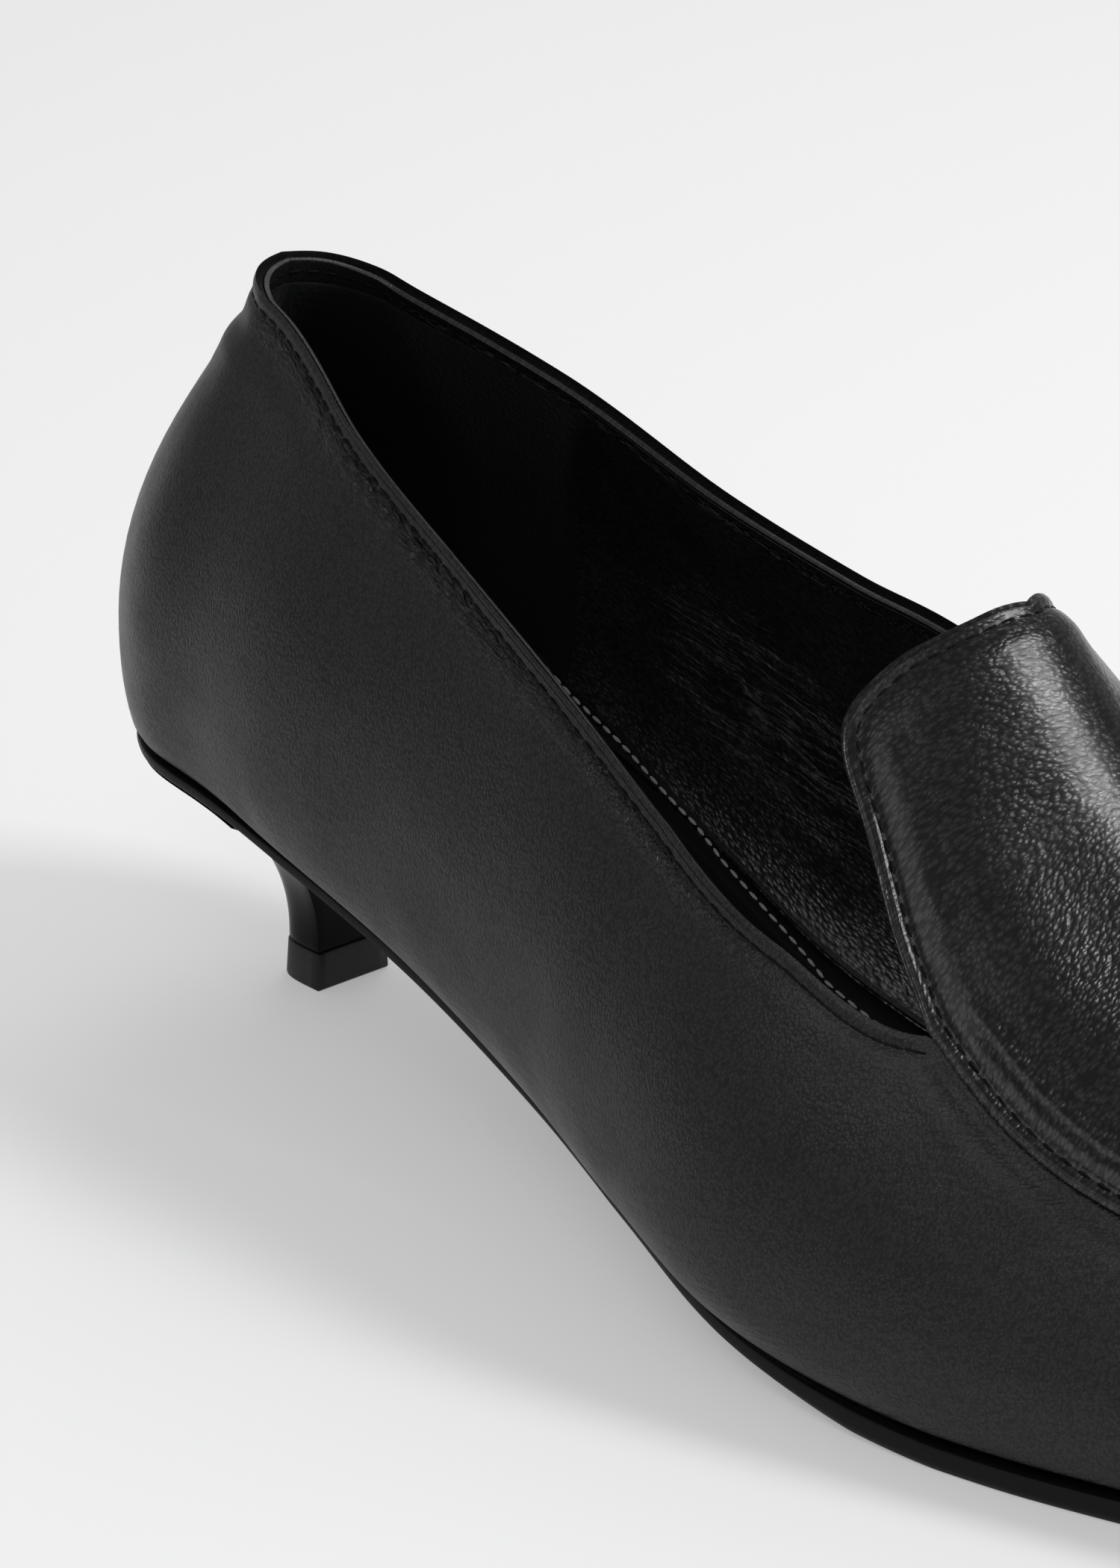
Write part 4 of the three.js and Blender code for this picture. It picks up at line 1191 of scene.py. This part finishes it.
# %% [markdown]
# ## Stitches
# A lockstitch shows as a short bulge of thread between two needle holes. Rows of them follow the
# topline, the facing behind it, the edge of the apron and tongue, and the rim of the sock. Such a
# row is one small mesh repeated along a path, which is the work of Geometry Nodes: the path is
# resampled by the stitch pitch and each of its points gets a bulge turned along the path.

# %% The tree for a row
def stitch_tree():
    tree = bpy.data.node_groups.new("row of stitches", "GeometryNodeTree")
    sockets = {}
    tree.interface.new_socket("Geometry", in_out="INPUT", socket_type="NodeSocketGeometry")
    kinds = {name: "NodeSocketFloat" for name in ("Pitch", "Length", "Width", "Height", "Unevenness")}
    for name, kind in (kinds | {"Seed": "NodeSocketInt", "Thread": "NodeSocketMaterial"}).items():
        socket = tree.interface.new_socket(name, in_out="INPUT", socket_type=kind)
        sockets[name] = socket.identifier
    tree.interface.new_socket("Geometry", in_out="OUTPUT", socket_type="NodeSocketGeometry")
    given = tree.nodes.new("NodeGroupInput").outputs
    path = add_node(tree, "GeometryNodeMeshToCurve", {0: given["Geometry"]})
    points = add_node(
        tree, "GeometryNodeResampleCurve", {"Curve": path, "Length": given["Pitch"]}, mode="LENGTH",
    )
    out = add_node(tree, "GeometryNodeInputNamedAttribute", {"Name": "out"}, data_type="FLOAT_VECTOR")
    tangent = add_node(tree, "GeometryNodeInputTangent")
    tilt = add_node(
        tree, "FunctionNodeRandomValue", {"Seed": given["Seed"], 0: (-1, -1, -1), 1: (1, 1, 1)},
        data_type="FLOAT_VECTOR",
    )
    uneven = add_node(
        tree, "ShaderNodeVectorMath", {0: tilt, "Scale": given["Unevenness"]}, operation="SCALE",
    )
    leaning = add_node(tree, "ShaderNodeVectorMath", {0: tangent, 1: uneven}, operation="ADD")
    turn = add_node(tree, "FunctionNodeAlignRotationToVector", {"Vector": leaning}, axis="Z")
    turn = add_node(
        tree, "FunctionNodeAlignRotationToVector", {"Rotation": turn, "Vector": out}, axis="X",
        pivot_axis="Z",
    )
    bulge = add_node(tree, "GeometryNodeMeshUVSphere", {"Segments": 10, "Rings": 7, "Radius": 0.5})
    size = add_node(
        tree, "ShaderNodeCombineXYZ", {"X": given["Height"], "Y": given["Width"], "Z": given["Length"]},
    )
    placed = add_node(
        tree, "GeometryNodeInstanceOnPoints",
        {"Points": points, "Instance": bulge, "Rotation": turn, "Scale": size},
    )
    real = add_node(tree, "GeometryNodeRealizeInstances", {0: placed})
    made = add_node(tree, "GeometryNodeSetMaterial", {"Geometry": real, "Material": given["Thread"]})
    tree.links.new(made, tree.nodes.new("NodeGroupOutput").inputs[0])
    return tree, sockets


STITCHES, STITCH_INPUTS = stitch_tree()
print("stitch inputs:", list(STITCH_INPUTS))


# %% Paths that lie on a sheet
def settle(line, sheet, lift):
    """Sets a line of points on the nearest part of a sheet, lifted, with its outward normals."""
    points = np.concatenate([grid[1].reshape(-1, 3) for grid in sheet])
    normals = np.concatenate([grid[5].reshape(-1, 3) for grid in sheet])
    nearest = np.array([((points - place)**2).sum(axis=1).argmin() for place in line])
    normal = normals[nearest]
    off = ((line - points[nearest]) * normal).sum(axis=1, keepdims=True)
    return line + normal * (lift - off), normal


def resampled(points, length, at):
    """Points of a line at other lengths along it."""
    return np.stack([np.interp(at, length, axis) for axis in points.T], axis=-1)


def trimmed(line, normal, start, end):
    """The part of a line between two distances from its start, in millimetres."""
    at = np.linspace(start, lengths(line)[-1] - end, len(line))
    return tuple(resampled(part, lengths(line), at) for part in (line, normal))


STITCH_UNEVEN = 0.06  # how far a stitch leans, as a share of its length


def stitch_piece(name, paths, size, pitch, material, slot, seed):
    """Rows of stitches along paths of points and normals; size is length, width and height."""
    verts, edges, outs = [], [], []
    for line, normal in paths:
        first = len(verts)
        verts.extend(to_frame(line).tolist())
        outs.extend(normal.tolist())
        edges.extend((first + k, first + k + 1) for k in range(len(line) - 1))
    mesh = bpy.data.meshes.new(name)
    mesh.from_pydata(verts, edges, [])
    mesh.attributes.new("out", "FLOAT_VECTOR", "POINT").data.foreach_set("vector", np.ravel(outs))
    piece = add_object(name, mesh)
    rows = piece.modifiers.new("rows", "NODES")
    rows.node_group = STITCHES
    for socket, value in zip(("Pitch", "Length", "Width", "Height"), (pitch, *size)):
        rows[STITCH_INPUTS[socket]] = value * MM
    for socket, value in (("Unevenness", STITCH_UNEVEN), ("Seed", seed), ("Thread", material)):
        rows[STITCH_INPUTS[socket]] = value
    apply_modifiers(piece)
    return finish_piece(piece, material, slot)


# %% Topline, facing and apron rows
STITCH_PITCH, APRON_PITCH = 2.45, 2.4


def upper_line(side, below):
    """Points of the last at a distance under the topline, from the centre back to the throat."""
    ways = even_steps(0, WAY_THROAT + 0.2, 0.5)
    up, table, edge = rib_table(side, ways)
    place = np.array([np.interp(e - below, row, up) for e, row in zip(edge, table)])
    return last_point(side, ways, place)


def topline_paths(sheet, below, lift, start, end):
    both = [upper_line(OUTER, below)[::-1], upper_line(INNER, below)[1:]]
    return [trimmed(*settle(np.concatenate(both), sheet, lift), start, end)]


def border_line(grid, inset):
    """Line inside the apron's border on one side: round the tongue, then along the seam."""
    side, points, way, _, _, normal = grid
    border = np.concatenate([points[0, ::-1], points[1:, 0]])
    normals = np.concatenate([normal[0, ::-1], normal[1:, 0]])
    length = lengths(border)
    at = even_steps(0, length[-1], 0.5)
    border, normals = (resampled(part, length, at) for part in (border, normals))
    run = unit_length(np.gradient(border, axis=0))
    inwards = np.cross(normals, run) * -side
    return border + inwards * inset


def apron_paths(inset, lift, start):
    """One line right round: from the toe along the inner side, over the ridge and back outside."""
    outer, inner = (border_line(grid, inset) for grid in apron_sheet)
    line = np.concatenate([inner[::-1], outer[1:]])
    return [trimmed(*settle(line, apron_sheet, lift), start, 1.0)]


facing_back = [(side, points - normal * FACING_THICK, way, height, below, -normal)
               for side, points, way, height, below, normal in facing_sheet]
# Half a pitch on from each stitch lies a needle hole, drawn as a small near-black ellipsoid: painted shade
# inside the hole.
ROWS = [
    ("topline_stitches", topline_paths(wrap_sheet, BAND, 0.02, 0.1, 0.1), (1.75, 0.34, 0.34),
     STITCH_PITCH, black_thread),
    ("topline_needle_holes", topline_paths(wrap_sheet, BAND, 0.0, 0.1 + STITCH_PITCH / 2, 0.1),
     (0.85, 0.5, 0.22), STITCH_PITCH, hole_shade),
    ("facing_stitches", topline_paths(facing_back, BAND, 0.05, 0.6, 0.4), (1.75, 0.36, 0.3),
     STITCH_PITCH, black_thread),
    ("apron_stitches", apron_paths(APRON_STITCH, 0.02, 0.0), (1.6, 0.34, 0.34), APRON_PITCH, black_thread),
    ("apron_needle_holes", apron_paths(APRON_STITCH, 0.0, APRON_PITCH / 2), (0.85, 0.5, 0.24),
     APRON_PITCH, hole_shade),
]
for number, row in enumerate(ROWS, 1):
    stitch_piece(*row, "thread", number)

# %% Sock row: light grey thread along the top of the sock's border
SOCK_PITCH = 2.15
border_back = [(side, points - normal * BORDER_THICK, way, height, below, -normal)
               for side, points, way, height, below, normal in border_sheet]


def border_row(side):
    """The row on the border, as far forward as the border stands up the wall."""
    ways = even_steps(0, 82, 0.5)
    up, table, _ = rib_table(side, ways)
    tops = border_top(None, None, ways) - BORDER_STITCH
    place = np.array([np.interp(top, row, up) for top, row in zip(tops, table)])
    return settle(last_point(side, ways, place), border_back, 0.1)


def flat_row(side):
    """The row on the flat of the sock, which runs in from the wall as it goes forward."""
    ways = even_steps(90, 128, 0.5)
    foot = last_point(side, ways, 0)
    run = np.gradient(foot, axis=0)
    out = unit_length(np.stack([run[:, 1], -run[:, 0], 0 * run[:, 0]], axis=-1) * -side)
    inset = np.interp(ways, [90, 103, 107, 112, 128], [2.9, 3.4, 4.0, 5.3, 6.0])
    line = foot - out * inset[:, None]
    line[:, 2] = bottom_z(line[:, 0]) + 2.52
    return line, out * 0 + [0, 0, 1]


sides = [map(np.concatenate, zip(border_row(side), flat_row(side))) for side in (OUTER, INNER)]
sock_row = [np.concatenate([outer[::-1], inner[1:]]) for outer, inner in zip(*sides)]
stitch_piece("sock_stitches", [trimmed(*sock_row, 0.5, 0.5)], (1.75, 0.5, 0.42), SOCK_PITCH, grey_thread,
             "sock_thread", len(ROWS) + 1)

# %% [markdown]
# ## Camera
# The camera stands where the photographer stood: 46 degrees round from the outer side towards the
# toe and 22 degrees up, a little rolled, close, with a long lens. Its place was worked out from
# traced outlines of the shoe.

# %% Camera of the reference view
VIEW_AZIMUTH = math.radians(46.11)
VIEW_ELEVATION = math.radians(22.255)
VIEW_ROLL = math.radians(1.048)
VIEW_DISTANCE = 560.1
VIEW_TARGET = np.array([70.357, 0, 39.479])
FOCAL_PIXELS = 6149.233
IMAGE_HEIGHT = 2100
SENSOR = 36


def look_from(azimuth, elevation, roll, distance, target):
    """Matrix of a camera that looks at a target given in millimetres of the last."""
    back = np.array([
        math.sin(azimuth) * math.cos(elevation), -math.cos(azimuth) * math.cos(elevation),
        math.sin(elevation),
    ])
    right = np.array([math.cos(azimuth), math.sin(azimuth), 0])
    above = np.cross(back, right)
    turned = math.cos(roll) * right + math.sin(roll) * above
    above = -math.sin(roll) * right + math.cos(roll) * above
    matrix = np.eye(4)
    matrix[:3, 0], matrix[:3, 1], matrix[:3, 2] = turned, above, back
    matrix[:3, 3] = to_frame(target + back * distance)
    return matrix


lens = bpy.data.cameras.new("reference view")
camera = add_object("reference view", lens)
scene.camera = camera
lens.sensor_fit = "VERTICAL"
lens.sensor_height = SENSOR
lens.lens = SENSOR * FOCAL_PIXELS / IMAGE_HEIGHT
lens.clip_start = 0.01
view = look_from(VIEW_AZIMUTH, VIEW_ELEVATION, VIEW_ROLL, VIEW_DISTANCE, VIEW_TARGET)
camera.matrix_world = Matrix(view.tolist())
print("lens in mm:", round(lens.lens, 1))

# %% [markdown]
# ## Floor and light
# A pale studio floor that runs on to the horizon, a small soft key light in front of the toe that
# draws the bright streak on the apron, a big one behind, and a wide dim one from the outer side.

# %% Floor and lights
scene.view_settings.view_transform = "Standard"
world = bpy.data.worlds.new("studio")
scene.world = world
world.use_nodes = True
sky = world.node_tree.nodes["Background"].inputs
sky["Color"].default_value = linear("#f2f2f2")
sky["Strength"].default_value = 0.44

floor_mesh = bpy.data.meshes.new("floor")
reach = 4.0
floor_mesh.from_pydata(
    [(-reach, -reach, 0), (reach, -reach, 0), (reach, reach, 0), (-reach, reach, 0)], [], [(0, 1, 2, 3)],
)
floor = add_object("floor", floor_mesh)
paper, _, paper_shader = new_material("studio_paper", "#d2d2d3", 0.85, Emission_Strength=0.3)
paper_shader.inputs["Emission Color"].default_value = (1, 1, 1, 1)
floor_mesh.materials.append(paper)
floor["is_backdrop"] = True


def soft_light(name, place, target, width, height, watts):
    """A large rectangular light in metres, turned towards a target."""
    data = bpy.data.lights.new(name, "AREA")
    data.shape = "RECTANGLE"
    data.size, data.size_y = width, height
    data.energy = watts
    light = add_object(name, data)
    light.location = place
    light.rotation_mode = "QUATERNION"
    light.rotation_quaternion = (Vector(target) - Vector(place)).to_track_quat("-Z", "Y")
    return light


def around(azimuth, elevation, distance):
    """A place in metres round the shoe, by angles in degrees and a distance."""
    turn, rise = math.radians(azimuth), math.radians(elevation)
    return (distance * math.cos(rise) * math.cos(turn), distance * math.cos(rise) * math.sin(turn),
            distance * math.sin(rise))


soft_light("key", around(38, 50, 1.2), (0.02, 0, 0.06), 0.30, 0.28, 6.4)
soft_light("back", around(122, 44, 1.6), (0, 0, 0), 0.8, 0.8, 4.0)
soft_light("front fill", around(-74, 50, 1.5), (0, 0, 0.05), 1.15, 0.85, 4.4)

# %% Sizes of the CAD frame and of the dressed shoe
boxes = {"cad": cad_box, "visual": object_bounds()}
{name: [list(corner) for corner in box] for name, box in boxes.items()}
